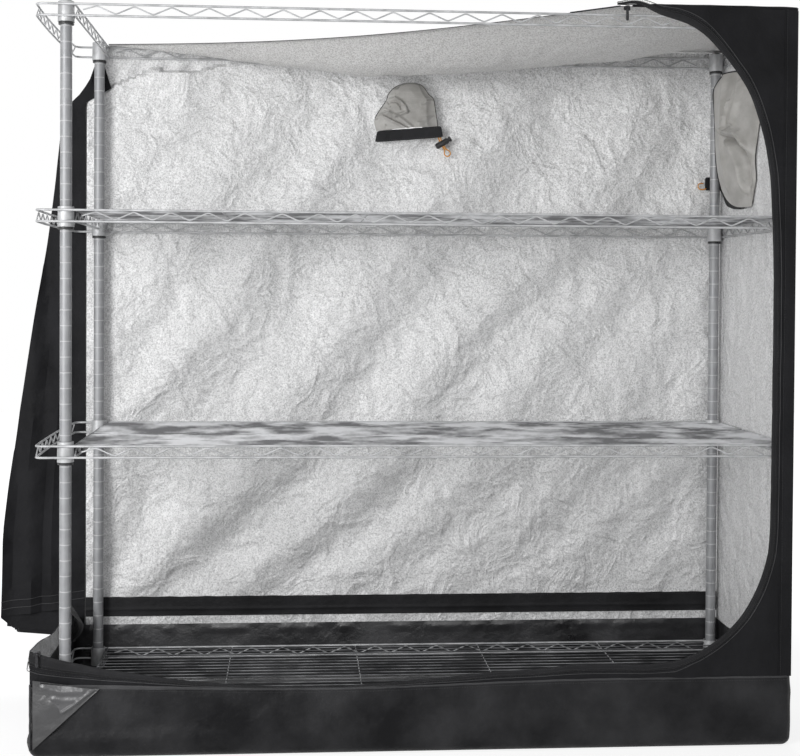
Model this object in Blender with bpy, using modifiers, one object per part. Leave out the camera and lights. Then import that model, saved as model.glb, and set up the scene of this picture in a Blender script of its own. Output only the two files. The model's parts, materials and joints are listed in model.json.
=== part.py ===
"""Indoor grow tent: a grooved-post wire rack inside a zipped, foil-lined fabric cover.

Metres. X runs to the right, Y to the back and Z up. The floor is z = 0 and the origin lies midway
between the four posts. The cover's wrap-round door is unzipped and gathered at the rear left corner.
"""
import math

import bmesh
import bpy
from mathutils import Matrix, Vector

# Clearance between pieces that touch or are sewn together, and overlap of wires welded into one piece
FIT_GAP = 0.0003
WELD_DEPTH = 0.0008

# Points nearer than this are one point
WELD = 0.00002

# Posts, caps, nuts and levelling feet
POST_SPAN_X = 1.185
POST_SPAN_Y = 0.370
POST_DIAMETER = 0.019
POST_WALL = 0.0012
FOOT_CLEAR_HEIGHT = 0.014
CAP_HEAD_HEIGHT = 0.0032
CAP_STEM_LENGTH = 0.012
NUT_LENGTH = 0.020
STUD_DIAMETER = 0.006
STUD_LENGTH = 0.028
FOOT_PAD_DIAMETER = 0.023
FOOT_PAD_HEIGHT = 0.0055
FOOT_NECK_DIAMETER = 0.012
FOOT_NECK_HEIGHT = 0.004
ROUND_STEPS = 12
SMALL_ROUND_STEPS = 8

# Wire shelves
BOTTOM_LEVEL = 0.074
LEVEL_SPACINGS = (0.432, 0.381, 0.330)
LEVEL_NAMES = ("bottom_shelf", "middle_shelf", "upper_shelf", "top")
RAIL_DIAMETER = 0.0038
RAIL_DROP = 0.0185
RAIL_CORNER_RADIUS = 0.012
LEFT_OVERHANG = 0.046
LEFT_BOW = 0.004
ZIGZAG_DIAMETER = 0.0025
ZIGZAG_PITCH = 0.0596
ZIGZAG_START = 0.0285
ZIGZAG_FIRST_SHARE = 0.375
END_ZIGZAG_PITCH = 0.0418
DECK_WIRE_DIAMETER = 0.0022
DECK_WIRE_COUNT = 20
DECK_RISE = 0.0006
CROSS_WIRE_COUNT = 4

# Collars and the split sleeves they sit on
SLEEVE_WALL_TOP = 0.0013
SLEEVE_TAPER = 0.0005
SLEEVE_RISE = 0.005
SLEEVE_SLOT = 0.0006
COLLAR_RISE = 0.006
COLLAR_DROP = 0.027
COLLAR_WALL = 0.0016
RING_HEIGHT = 0.004
RING_STEP = 0.0009

# Cover
CLOTH = 0.0012
SEAM_HEIGHT = 0.118
SEAM_SAG = 0.009
SEAM_SAG_END_SHARE = 0.75
SEAM_STEPS = 12
COVER_CLEARANCE = 0.008
COVER_SLACK = 0.0022
FOLD_DEPTH = 0.009
SIDE_FOLD_DEPTH = 0.0012
SIDE_FOLD_COUNT = 5
SIDE_COLUMNS = 10
SIDE_ROWS = 8
PAN_CORNER_CUT = 0.024
LEFT_STRIP_FRONT = 0.176
LEFT_STRIP_REAR = 0.150
MIN_STRIP = 0.0025
TAPE_WIDTH = 0.026
LOW_TAPE_WIDTH = 0.0015
TAPE_THICKNESS = 0.001
PIPING_DIAMETER = 0.005
BAND_BASE = 0.134
REAR_BAND_HEIGHT = 0.037
REAR_COLUMNS = 19
REAR_ROWS = 8
REAR_WALL_INSET = 0.026
REAR_WALL_TOP_INSET = 0.060
REAR_WALL_TAPER_HEIGHT = 0.115

# Roof
ROOF_SAG = 0.070
ROOF_LEFT_DROP = 0.0085
ROOF_EDGE_SAG = 0.018
ROOF_LEFT_INSET = 0.042
ROOF_OPEN_INSET = 0.300
ROOF_END_WIDTH = 0.012
ROOF_LIP = 0.010
ROOF_SAG_ROUNDNESS = 1.2
ROOF_COLUMNS = 18
ROOF_ROWS = 9

# Door, gathered in pleats
DOOR_PLEATS = 8
DOOR_PLEAT_SPACING = 0.006
DOOR_WIDTH = 0.156
DOOR_TOP_DROP = 0.042
DOOR_BOTTOM = 0.120
DOOR_HEM_LIFT = 0.028
DOOR_INNER_SHARE = 0.85
DOOR_WAVE = 0.0016
DOOR_WAVE_TURNS = 6
long_pleat_shares = (0.0, 0.33, 0.66, 1.0)

# Vent ports, their sleeves and drawcords
REAR_PORT_X = -0.011
REAR_PORT_DROP = 0.123
REAR_PORT_DIAMETER = 0.090
REAR_SLEEVE_WIDTH = 0.122
REAR_SLEEVE_RISE = 0.0545
REAR_SLEEVE_BULGE = 0.016
REAR_SLEEVE_FOLD_SHARE = 0.25
REAR_SLEEVE_COLUMNS = 10
REAR_SLEEVE_ROWS = 8
BAND_LEFT_REACH = 0.058
BAND_RIGHT_REACH = 0.0693
BAND_DROP = 0.0402
BAND_RISE = 0.0113
BAND_HEIGHT = 0.0215
BAND_THICKNESS = 0.008
BAND_STANDOFF = 0.002
SIDE_PORT_Y = 0.075
SIDE_PORT_DROP = 0.16
SIDE_PORT_DIAMETER = 0.130
SIDE_SLEEVE_BULGE = 0.026
SIDE_SLEEVE_THIN = 0.0035
SIDE_SLEEVE_FRONT = -0.050
SIDE_SLEEVE_DROP = 0.133
SIDE_SLEEVE_HEIGHT = 0.251
SIDE_TAB_REACH = 0.0085
SIDE_SLEEVE_POST_GAP = 0.0114
SIDE_SLEEVE_FADE = 0.038
SIDE_SLEEVE_FOLD_SHARE = 0.3
SIDE_CROWN_START_SHARE = 0.08
SIDE_CROWN_STRETCH = 1.15
SIDE_CROWN_EDGE_SHARE = 0.1
SIDE_SLEEVE_COLUMNS = 14
SIDE_SLEEVE_ROWS = 7
SLEEVE_TOP_SHARE = 0.9
CROWN_ROUNDNESS = 0.65
HEM_CLEARANCE = 0.0009
CORD_DIAMETER = 0.0024
CORD_STEP_DIAMETERS = 1.1
CURVE_PARTS = 24
LOCK_OFFSET = (0.0689, -0.0092, -0.0629)
LOCK_TILT_DEGREES = 30
LOCK_DIAMETER = 0.0115
LOCK_LENGTH = 0.026
LOCK_BORE_DIAMETER = 0.0082
LOCK_BORE_DEPTH = 0.008
LOCK_SLOT_LENGTH = 0.0074
LOCK_SLOT_WIDTH = 0.0036
PLUNGER_HEAD_DIAMETER = 0.0098
PLUNGER_HEAD_LENGTH = 0.0042
PLUNGER_TRAVEL = 0.0028

# Zip sliders and pulls
SLIDER_PLACE_SHARE = 0.25
SLIDER_LENGTH = 0.011
SLIDER_WIDTH = 0.009
SLIDER_THICKNESS = 0.0024
LUG_LENGTH = 0.0014
LUG_RISE = 0.0038
LUG_WIDTH = 0.0030
PIN_DIAMETER = 0.0014
EYE_WALL = 0.0009
PULL_LENGTH = 0.021
PULL_WIDTH = 0.0056
PULL_THICKNESS = 0.0012

# Values worked out from the sizes above
LEVELS = [BOTTOM_LEVEL + sum(LEVEL_SPACINGS[:index]) for index in range(len(LEVEL_NAMES))]
POST_TOP = LEVELS[-1] + SLEEVE_RISE
COVER_TOP = POST_TOP + COVER_CLEARANCE
ROOF_LEFT_HEIGHT = COVER_TOP - ROOF_LEFT_DROP
DOOR_TOP = COVER_TOP - DOOR_TOP_DROP
REAR_PORT_HEIGHT = COVER_TOP - REAR_PORT_DROP
REAR_SLEEVE_TOP = REAR_PORT_HEIGHT + REAR_SLEEVE_RISE
BAND_LEFT = REAR_PORT_X - BAND_LEFT_REACH
BAND_RIGHT = REAR_PORT_X + BAND_RIGHT_REACH
BAND_LEFT_TOP = REAR_PORT_HEIGHT - BAND_DROP
SIDE_PORT_HEIGHT = COVER_TOP - SIDE_PORT_DROP
SIDE_SLEEVE_BASE = SIDE_PORT_HEIGHT - SIDE_SLEEVE_DROP
POST_RADIUS = POST_DIAMETER / 2
SLEEVE_BORE = POST_RADIUS + FIT_GAP
SLEEVE_TOP_RADIUS = SLEEVE_BORE + SLEEVE_WALL_TOP
SLEEVE_BOTTOM_RADIUS = SLEEVE_TOP_RADIUS + SLEEVE_TAPER
COLLAR_BORE_TOP = SLEEVE_TOP_RADIUS + FIT_GAP
COLLAR_BORE_BOTTOM = SLEEVE_BOTTOM_RADIUS + FIT_GAP
COLLAR_RADIUS_TOP = COLLAR_BORE_TOP + COLLAR_WALL
COLLAR_RADIUS_BOTTOM = COLLAR_BORE_BOTTOM + COLLAR_WALL
RAIL_RADIUS = RAIL_DIAMETER / 2
RAIL_OFFSET = COLLAR_RADIUS_BOTTOM + RAIL_RADIUS - WELD_DEPTH
POST_X = POST_SPAN_X / 2
POST_Y = POST_SPAN_Y / 2
RAIL_Y = POST_Y + RAIL_OFFSET
RIGHT_RAIL_X = POST_X + RAIL_OFFSET
LEFT_RAIL_X = -POST_X - LEFT_OVERHANG
INNER_RAIL_X = -POST_X + COLLAR_RADIUS_BOTTOM + FIT_GAP + RAIL_RADIUS
INSIDE_Y = RAIL_Y + RAIL_RADIUS + COVER_SLACK
INSIDE_RIGHT = RIGHT_RAIL_X + RAIL_RADIUS + FIT_GAP
INSIDE_LEFT = LEFT_RAIL_X - LEFT_BOW - RAIL_RADIUS - FIT_GAP
FRONT_Y = -INSIDE_Y
REAR_Y = INSIDE_Y
COVER_WIDTH = INSIDE_RIGHT - INSIDE_LEFT
REAR_WALL_LEFT = INSIDE_LEFT + REAR_WALL_INSET
POST_PLACES = {
    "front_left": (-POST_X, -POST_Y),
    "front_right": (POST_X, -POST_Y),
    "rear_left": (-POST_X, POST_Y),
    "rear_right": (POST_X, POST_Y),
}

# Zip edge of the front: shares of the cover's inside width and of its height, left to right, then up
opening_edge_shares = (
    (0.000, 0.143), (0.037, 0.132), (0.126, 0.114), (0.215, 0.101), (0.300, 0.094), (0.383, 0.091),
    (0.500, 0.099), (0.607, 0.108), (0.700, 0.115), (0.765, 0.116), (0.824, 0.117), (0.860, 0.125),
    (0.892, 0.142), (0.922, 0.168), (0.943, 0.197), (0.959, 0.235), (0.968, 0.279), (0.970, 0.360),
    (0.970, 0.608), (0.9665, 0.743), (0.9610, 0.798), (0.9486, 0.851), (0.929, 0.898), (0.893, 0.945),
    (0.854, 0.977), (0.805, 0.991), (0.757, 1.000),
)
TAPER_FIRST_INDEX = 7
TAPER_POINTS = 5

# Left silhouette of the gathered door: shares of its height from the top, and of its full width
door_width_shares = (
    (0.000, 0.09), (0.036, 0.12), (0.072, 0.19), (0.140, 0.24), (0.212, 0.33), (0.327, 0.47),
    (0.483, 0.64), (0.619, 0.79), (0.754, 0.91), (0.853, 0.98), (0.945, 0.99), (1.000, 1.00),
)

# Broad diagonal folds of the rear wall: middle as a share of the width at mid height, width, depth
rear_fold_shares = ((0.16, 0.10, 0.7), (0.38, 0.12, 1.0), (0.60, 0.09, 0.6), (0.78, 0.13, 0.9))
REAR_FOLD_LEAN_SHARE = 0.42
REAR_FOLD_SHARPNESS = 1.6
FOLD_FADE = 6

# Depth of the roof's sag along its length: share of the length, share of the sag
roof_sag_shares = (
    (0.0, 0.0), (0.12, 0.25), (0.24, 0.55), (0.40, 0.97), (0.56, 1.0), (0.80, 0.80), (1.0, 0.0),
)

# Rear sleeve's outline: share of its height, left and right of the port's middle as shares of its width
rear_sleeve_shares = (
    (0.00, -0.475, 0.525), (0.22, -0.490, 0.503), (0.42, -0.400, 0.470), (0.56, -0.335, 0.455),
    (0.68, -0.285, 0.430), (0.84, -0.215, 0.300), (0.94, -0.150, 0.240), (1.00, -0.060, 0.150),
)

# Side sleeve: along the wall from front to rear and round behind the post, low and high edges
side_sleeve_low_shares = ((0.0, 0.0), (0.34, 0.0), (0.59, 0.012), (0.77, 0.064), (0.84, 0.15), (1.0, 0.20))
side_sleeve_high_shares = (
    (0.0, 0.45), (0.18, 0.776), (0.47, 0.936), (0.64, 1.0), (0.80, 0.92), (0.88, 0.65), (1.0, 0.29),
)

# Drawcord routes, chosen by hand: from the rear port's middle, and from the rear right post beside its port
REAR_CORD_ROUTE = (
    (0.0623, -0.0077, -0.0515), (0.0634, -0.0083, -0.0552), (0.0658, -0.0092, -0.0605),
    (0.0676, -0.0092, -0.0636), (0.0694, -0.0092, -0.0667), (0.0713, -0.0092, -0.0699),
    (0.0731, -0.0092, -0.0731), (0.0741, -0.0092, -0.0766), (0.0737, -0.0092, -0.0809),
    (0.0747, -0.0092, -0.0844), (0.0768, -0.0092, -0.0865), (0.0797, -0.0092, -0.0872),
    (0.0825, -0.0092, -0.0865), (0.0846, -0.0092, -0.0844), (0.0853, -0.0092, -0.0815),
    (0.0846, -0.0092, -0.0787), (0.0821, -0.0092, -0.0760), (0.0781, -0.0092, -0.0742),
    (0.0756, -0.0092, -0.0716), (0.0738, -0.0092, -0.0685), (0.0720, -0.0092, -0.0653),
    (0.0702, -0.0092, -0.0622), (0.0684, -0.0092, -0.0591), (0.0672, -0.0083, -0.0546),
    (0.0663, -0.0077, -0.0511),
)
SIDE_CORD_ROUTE = (
    (-0.0186, 0.0147, -0.0960), (-0.0209, 0.0146, -0.0960), (-0.0235, 0.0143, -0.0960),
    (-0.0265, 0.0137, -0.0968), (-0.0288, 0.0131, -0.0991), (-0.0296, 0.0124, -0.1021),
    (-0.0288, 0.0118, -0.1052), (-0.0265, 0.0112, -0.1074), (-0.0235, 0.0106, -0.1082),
    (-0.0202, 0.0105, -0.1082), (-0.0171, 0.0108, -0.1075), (-0.0143, 0.0113, -0.1060),
)


# Scene and materials

def clear_scene():
    for item in list(bpy.data.objects):
        bpy.data.objects.remove(item, do_unlink=True)


def new_collection(name):
    collection = bpy.data.collections.new(name)
    bpy.context.scene.collection.children.link(collection)
    return collection


def paint(name, colour, roughness, metallic=0.0):
    material = bpy.data.materials.new(name)
    material.use_nodes = True
    shader = material.node_tree.nodes["Principled BSDF"]
    shader.inputs["Base Color"].default_value = (*colour, 1.0)
    shader.inputs["Roughness"].default_value = roughness
    shader.inputs["Metallic"].default_value = metallic
    return material


def put(name, mesh, material, parent=None):
    """Show a mesh as one of the part's nodes, keeping its world place under an optional parent."""
    item = bpy.data.objects.new(name, mesh)
    mesh.materials.clear()
    mesh.materials.append(material)
    PARTS.objects.link(item)
    if parent is not None:
        item.parent = parent
        item.matrix_parent_inverse = Matrix.Translation(parent.location).inverted()
    return item


def pivot(name, place):
    """An empty on a joint's axis."""
    item = bpy.data.objects.new(name, None)
    item.location = place
    PARTS.objects.link(item)
    return item


def evaluated_mesh(item):
    """The finished mesh of a helper object, welded, with the helper removed."""
    bpy.context.view_layer.update()
    graph = bpy.context.evaluated_depsgraph_get()
    mesh = bpy.data.meshes.new_from_object(item.evaluated_get(graph))
    mesh.transform(item.matrix_world)
    bpy.data.objects.remove(item, do_unlink=True)
    shape = bmesh.new()
    shape.from_mesh(mesh)
    bmesh.ops.remove_doubles(shape, verts=shape.verts, dist=WELD)
    shape.to_mesh(mesh)
    shape.free()
    return mesh


def moved(mesh, place):
    copy = mesh.copy()
    copy.transform(Matrix.Translation(place))
    return copy


# Shapes

def turned(profile, closed=False, steps=ROUND_STEPS):
    """A profile of (radius, height) points turned about Z; its outer side runs from top to bottom."""
    mesh = bpy.data.meshes.new("profile")
    points = [(radius, 0, height) for radius, height in profile]
    edges = [(index, index + 1) for index in range(len(points) - 1)]
    if closed:
        edges.append((len(points) - 1, 0))
    mesh.from_pydata(points, edges, [])
    item = bpy.data.objects.new("profile", mesh)
    bpy.context.scene.collection.objects.link(item)
    screw = item.modifiers.new("Screw", "SCREW")
    screw.steps = steps
    screw.render_steps = steps
    screw.use_merge_vertices = True
    screw.merge_threshold = WELD
    return evaluated_mesh(item)


def wires(lines, diameter, resolution, cyclic=False):
    """Round wires along straight-sided lines, as one mesh of separate solids."""
    curve = bpy.data.curves.new("wire", "CURVE")
    curve.dimensions = "3D"
    curve.bevel_depth = diameter / 2
    curve.bevel_resolution = resolution
    curve.use_fill_caps = True
    for line in lines:
        spline = curve.splines.new("POLY")
        spline.points.add(len(line) - 1)
        spline.use_cyclic_u = cyclic
        for point, place in zip(spline.points, line):
            point.co = (*place, 1)
    item = bpy.data.objects.new("wire", curve)
    bpy.context.scene.collection.objects.link(item)
    return evaluated_mesh(item)


def plate(outline, thickness):
    """A flat outline in X and Y, raised by the thickness, its lower face at z = 0."""
    curve = bpy.data.curves.new("plate", "CURVE")
    curve.dimensions = "2D"
    curve.fill_mode = "BOTH"
    curve.extrude = thickness / 2
    spline = curve.splines.new("POLY")
    spline.points.add(len(outline) - 1)
    spline.use_cyclic_u = True
    for point, (x, y) in zip(spline.points, outline):
        point.co = (x, y, 0, 1)
    item = bpy.data.objects.new("plate", curve)
    item.location.z = thickness / 2
    bpy.context.scene.collection.objects.link(item)
    return evaluated_mesh(item)


def standing(mesh, y):
    """A plate drawn in X and Z, stood up with its front face at y."""
    mesh.transform(Matrix.Translation((0, y, 0)) @ Matrix.Rotation(math.pi / 2, 4, "X"))
    return mesh


def box(low, high):
    shape = bmesh.new()
    bmesh.ops.create_cube(shape, size=1)
    size = Vector(high) - Vector(low)
    middle = (Vector(high) + Vector(low)) / 2
    bmesh.ops.scale(shape, vec=size, verts=shape.verts)
    bmesh.ops.translate(shape, vec=middle, verts=shape.verts)
    mesh = bpy.data.meshes.new("box")
    shape.to_mesh(mesh)
    shape.free()
    return mesh


def rod(start, end, diameter, steps=ROUND_STEPS):
    """A capped cylinder between two points."""
    start = Vector(start)
    end = Vector(end)
    shape = bmesh.new()
    bmesh.ops.create_cone(shape, cap_ends=True, segments=steps, radius1=diameter / 2,
                          radius2=diameter / 2, depth=(end - start).length)
    turn = (end - start).to_track_quat("Z", "Y").to_matrix().to_4x4()
    shape.transform(Matrix.Translation((start + end) / 2) @ turn)
    mesh = bpy.data.meshes.new("rod")
    shape.to_mesh(mesh)
    shape.free()
    return mesh


def helper(mesh):
    """A hidden helper object for a Boolean."""
    item = bpy.data.objects.new("cutter", mesh)
    item.hide_render = True
    item.display_type = "WIRE"
    CUTTERS.objects.link(item)
    return item


def combine(mesh, others, operation):
    """The mesh cut by, or united with, each of the others."""
    item = bpy.data.objects.new("body", mesh)
    bpy.context.scene.collection.objects.link(item)
    cutters = [helper(other) for other in others]
    for cutter in cutters:
        step = item.modifiers.new("Boolean", "BOOLEAN")
        step.operation = operation
        step.object = cutter
    result = evaluated_mesh(item)
    for cutter in cutters:
        bpy.data.objects.remove(cutter, do_unlink=True)
    return result


def cloth(surface, columns, rows, thickness, side=1):
    """A grid laid on surface(u, v), u and v from 0 to 1, thickened towards the given side."""
    shape = bmesh.new()
    bmesh.ops.create_grid(shape, x_segments=columns, y_segments=rows, size=0.5)
    for vertex in shape.verts:
        vertex.co = surface(vertex.co.x + 0.5, vertex.co.y + 0.5)
    mesh = bpy.data.meshes.new("cloth")
    shape.to_mesh(mesh)
    shape.free()
    item = bpy.data.objects.new("cloth", mesh)
    bpy.context.scene.collection.objects.link(item)
    solidify = item.modifiers.new("Solidify", "SOLIDIFY")
    solidify.thickness = thickness
    solidify.offset = side
    return evaluated_mesh(item)


def slab(front, back, columns, rows):
    """A closed cushion between two surfaces of u and v, joined round their borders."""
    shape = bmesh.new()
    layers = []
    for surface in (front, back):
        grid = [[shape.verts.new(surface(i / columns, j / rows)) for i in range(columns + 1)]
                for j in range(rows + 1)]
        layers.append(grid)
    for j in range(rows):
        for i in range(columns):
            near, far = layers
            shape.faces.new((near[j][i], near[j][i + 1], near[j + 1][i + 1], near[j + 1][i]))
            shape.faces.new((far[j][i], far[j + 1][i], far[j + 1][i + 1], far[j][i + 1]))
    rim = [(i, 0) for i in range(columns)] + [(columns, j) for j in range(rows)]
    rim += [(i, rows) for i in range(columns, 0, -1)] + [(0, j) for j in range(rows, 0, -1)]
    for (i, j), (k, m) in zip(rim, rim[1:] + rim[:1]):
        shape.faces.new((layers[0][j][i], layers[1][j][i], layers[1][m][k], layers[0][m][k]))
    bmesh.ops.recalc_face_normals(shape, faces=shape.faces)
    mesh = bpy.data.meshes.new("slab")
    shape.to_mesh(mesh)
    shape.free()
    return mesh


def along(table, share):
    """The value at a share of a table of (share, value) pairs, straight between them."""
    for (low, first), (high, second) in zip(table, table[1:]):
        if share <= high:
            return first + (second - first) * (share - low) / (high - low)
    return table[-1][1]


def smooth_route(route, step):
    """Evenly spaced points on a Catmull-Rom curve through a route's own points."""
    knots = [Vector(point) for point in route]
    knots = [2 * knots[0] - knots[1]] + knots + [2 * knots[-1] - knots[-2]]
    dense = []
    for before, start, end, after in zip(knots, knots[1:], knots[2:], knots[3:]):
        for index in range(CURVE_PARTS):
            t = index / CURVE_PARTS
            dense.append(0.5 * (2 * start + (end - before) * t
                                + (2 * before - 5 * start + 4 * end - after) * t * t
                                + (3 * start - before - 3 * end + after) * t ** 3))
    dense.append(knots[-2])
    lengths = [0.0]
    for first, second in zip(dense, dense[1:]):
        lengths.append(lengths[-1] + (second - first).length)
    count = max(4, round(lengths[-1] / step))
    points = []
    for index in range(count + 1):
        target = lengths[-1] * index / count
        spot = next(i for i, length in enumerate(lengths) if length >= target - WELD)
        points.append(dense[spot])
    return points


# Rack

def build_posts():
    """Tubes with a nut pressed into the lower end for the levelling foot."""
    bore = STUD_DIAMETER / 2 + FIT_GAP
    inside = POST_RADIUS - POST_WALL
    nut_top = FOOT_CLEAR_HEIGHT + NUT_LENGTH
    tube = turned([(POST_RADIUS, POST_TOP), (POST_RADIUS, FOOT_CLEAR_HEIGHT), (bore, FOOT_CLEAR_HEIGHT),
                   (bore, nut_top), (inside, nut_top), (inside, POST_TOP)], closed=True)
    for name, (x, y) in POST_PLACES.items():
        post = put("post_" + name, tube.copy(), STEEL)
        post.location = (x, y, 0)


def build_caps():
    stem = POST_RADIUS - POST_WALL - FIT_GAP
    base = POST_TOP + FIT_GAP
    cap = turned([(0, base + CAP_HEAD_HEIGHT), (POST_RADIUS, base + CAP_HEAD_HEIGHT), (POST_RADIUS, base),
                  (stem, base), (stem, base - CAP_STEM_LENGTH), (0, base - CAP_STEM_LENGTH)])
    for name, (x, y) in POST_PLACES.items():
        item = put("cap_" + name, cap.copy(), BLACK_PLASTIC)
        item.location = (x, y, 0)


def build_feet():
    base = CLOTH + FIT_GAP
    pad_top = base + FOOT_PAD_HEIGHT
    neck_top = pad_top + FOOT_NECK_HEIGHT
    stud = STUD_DIAMETER / 2
    foot = turned([(0, neck_top + STUD_LENGTH), (stud, neck_top + STUD_LENGTH), (stud, neck_top),
                   (FOOT_NECK_DIAMETER / 2, neck_top), (FOOT_PAD_DIAMETER / 2, pad_top),
                   (FOOT_PAD_DIAMETER / 2, base), (0, base)], steps=SMALL_ROUND_STEPS)
    for name, (x, y) in POST_PLACES.items():
        item = put("foot_" + name, foot.copy(), BLACK_PLASTIC)
        item.location = (x, y, 0)


def build_sleeves():
    """Tapered split sleeves, each with the ring that shows under its collar."""
    slot = box((-SLEEVE_SLOT / 2, -POST_DIAMETER, -COVER_TOP), (SLEEVE_SLOT / 2, 0, COVER_TOP))
    for level_name, level in zip(LEVEL_NAMES, LEVELS):
        seat = -COLLAR_DROP - FIT_GAP
        ring = SLEEVE_BOTTOM_RADIUS + RING_STEP
        whole = turned([(SLEEVE_TOP_RADIUS, SLEEVE_RISE), (SLEEVE_BOTTOM_RADIUS, seat), (ring, seat),
                        (ring, seat - RING_HEIGHT), (SLEEVE_BORE, seat - RING_HEIGHT),
                        (SLEEVE_BORE, SLEEVE_RISE)], closed=True)
        sleeve = combine(whole, [slot.copy()], "DIFFERENCE")
        for name, (x, y) in POST_PLACES.items():
            item = put(level_name + "_sleeve_" + name, sleeve.copy(), BLACK_PLASTIC)
            item.location = (x, y, level)


def left_end_x(y):
    """The outer left end of a shelf bows outwards between its corners."""
    return LEFT_RAIL_X - LEFT_BOW * max(0.0, 1 - (y / (RAIL_Y - RAIL_CORNER_RADIUS)) ** 2)


def rail_loop(height):
    """One wire bent into a loop round the four posts."""
    radius = RAIL_CORNER_RADIUS
    corners = ((RIGHT_RAIL_X - radius, RAIL_Y - radius, 0), (LEFT_RAIL_X + radius, RAIL_Y - radius, 90),
               (LEFT_RAIL_X + radius, -RAIL_Y + radius, 180), (RIGHT_RAIL_X - radius, -RAIL_Y + radius, 270))
    points = []
    for x, y, start in corners:
        for turn in (0, 45, 90):
            angle = math.radians(start + turn)
            points.append((x + radius * math.cos(angle), y + radius * math.sin(angle), height))
        if start == 90:
            points.append((left_end_x(0), 0, height))
    return points


def zigzag_heights(level, last):
    """Upper and lower peak heights; the peaks at a wire's two ends are welded to the rails."""
    inset = RAIL_RADIUS + FIT_GAP + ZIGZAG_DIAMETER / 2
    if last:
        inset -= FIT_GAP + WELD_DEPTH
    return level - inset, level - RAIL_DROP + inset


def long_zigzag(level, y):
    """The bent wire between a long side's two rails, clear of the collars."""
    x = -POST_X + ZIGZAG_START
    limit = POST_X - COLLAR_RADIUS_BOTTOM - ZIGZAG_DIAMETER
    first = x + ZIGZAG_PITCH * ZIGZAG_FIRST_SHARE
    count = int((limit - first) / (ZIGZAG_PITCH / 2))
    points = [(x, y, level - RAIL_DROP / 2)]
    for index in range(count + 1):
        high, low = zigzag_heights(level, index in (0, count))
        points.append((first + index * ZIGZAG_PITCH / 2, y, low if index % 2 else high))
    return points


def end_zigzag(level, place):
    """The bent wire between an end's two rails; place(y) is the end's x."""
    half = RAIL_Y - RAIL_CORNER_RADIUS
    count = int(2 * half / (END_ZIGZAG_PITCH / 2))
    step = 2 * half / count
    points = []
    for index in range(count + 1):
        y = -half + step * index
        high, low = zigzag_heights(level, index in (0, count))
        points.append((place(y), y, high if index % 2 else low))
    return points


def cross_truss(level, reach):
    """The inner truss between the left posts: two straight wires and the bent one between them."""
    straight = [wires([[(INNER_RAIL_X, -reach, height), (INNER_RAIL_X, reach, height)]], RAIL_DIAMETER, 1)
                for height in (level, level - RAIL_DROP)]
    return straight + [wires([end_zigzag(level, lambda y: INNER_RAIL_X)], ZIGZAG_DIAMETER, 0)]


def build_frame(name, level, with_deck):
    """Rails, zigzags and collars welded into one frame; a shelf's has cross wires for its deck."""
    pieces = [wires([rail_loop(level - RAIL_DROP)], RAIL_DIAMETER, 1, cyclic=True)]
    collar = turned([(COLLAR_RADIUS_TOP, level + COLLAR_RISE), (COLLAR_RADIUS_BOTTOM, level - COLLAR_DROP),
                     (COLLAR_BORE_BOTTOM, level - COLLAR_DROP), (COLLAR_BORE_TOP, level + COLLAR_RISE)],
                    closed=True)
    pieces += [moved(collar, (x, y, 0)) for x, y in POST_PLACES.values()]
    for line in (long_zigzag(level, -RAIL_Y), long_zigzag(level, RAIL_Y), end_zigzag(level, left_end_x),
                 end_zigzag(level, lambda y: RIGHT_RAIL_X)):
        pieces.append(wires([line], ZIGZAG_DIAMETER, 0))
    if with_deck:
        height = level + DECK_RISE - DECK_WIRE_DIAMETER - FIT_GAP
        for index in range(CROSS_WIRE_COUNT):
            x = INNER_RAIL_X + (RIGHT_RAIL_X - INNER_RAIL_X) * (index + 1) / (CROSS_WIRE_COUNT + 1)
            pieces.append(wires([[(x, -RAIL_Y, height), (x, RAIL_Y, height)]], DECK_WIRE_DIAMETER, 0))
    else:
        pieces += cross_truss(level, RAIL_Y)
    top = wires([rail_loop(level)], RAIL_DIAMETER, 1, cyclic=True)
    put(name + "_frame", combine(top, pieces, "UNION"), STEEL)


def build_deck(name, level):
    """Deck wires along the shelf, welded to its inner left truss."""
    height = level + DECK_RISE
    right = RIGHT_RAIL_X - RAIL_RADIUS - FIT_GAP
    collar_side = POST_X - COLLAR_RADIUS_BOTTOM - FIT_GAP
    clear = COLLAR_RADIUS_BOTTOM + DECK_WIRE_DIAMETER
    step = 2 * RAIL_Y / (DECK_WIRE_COUNT + 1)
    pieces = []
    for index in range(DECK_WIRE_COUNT):
        y = -RAIL_Y + step * (index + 1)
        end = collar_side if abs(abs(y) - POST_Y) < clear else right
        pieces.append(wires([[(INNER_RAIL_X, y, height), (end, y, height)]], DECK_WIRE_DIAMETER, 0))
    truss = cross_truss(level, RAIL_Y - RAIL_RADIUS - FIT_GAP)
    put(name + "_deck", combine(truss[0], truss[1:] + pieces, "UNION"), STEEL)


def build_shelves():
    for name, level in zip(LEVEL_NAMES, LEVELS):
        with_deck = name != LEVEL_NAMES[-1]
        build_frame(name, level, with_deck)
        if with_deck:
            build_deck(name, level)


# Cover

def edge_points():
    """The front opening's zip edge, in X and Z."""
    return [(INSIDE_LEFT + x * COVER_WIDTH, z * COVER_TOP) for x, z in opening_edge_shares]


def seam_height(x):
    """The seam on top of the front pan wall sags a little left of the middle."""
    share = (x - INSIDE_LEFT) / COVER_WIDTH
    return SEAM_HEIGHT - SEAM_SAG * max(0.0, math.sin(math.pi * min(1.0, share / SEAM_SAG_END_SHARE))) ** 2


def seam_points(start, end):
    places = [start + (end - start) * index / SEAM_STEPS for index in range(SEAM_STEPS + 1)]
    return [(x, seam_height(x)) for x in places]


def side_panel(outline, x):
    """A panel drawn in Y and Z, its left face at x."""
    mesh = plate(outline, CLOTH)
    turn = Matrix.Rotation(math.pi / 2, 4, "Z") @ Matrix.Rotation(math.pi / 2, 4, "X")
    mesh.transform(Matrix.Translation((x, 0, 0)) @ turn)
    return mesh


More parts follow.
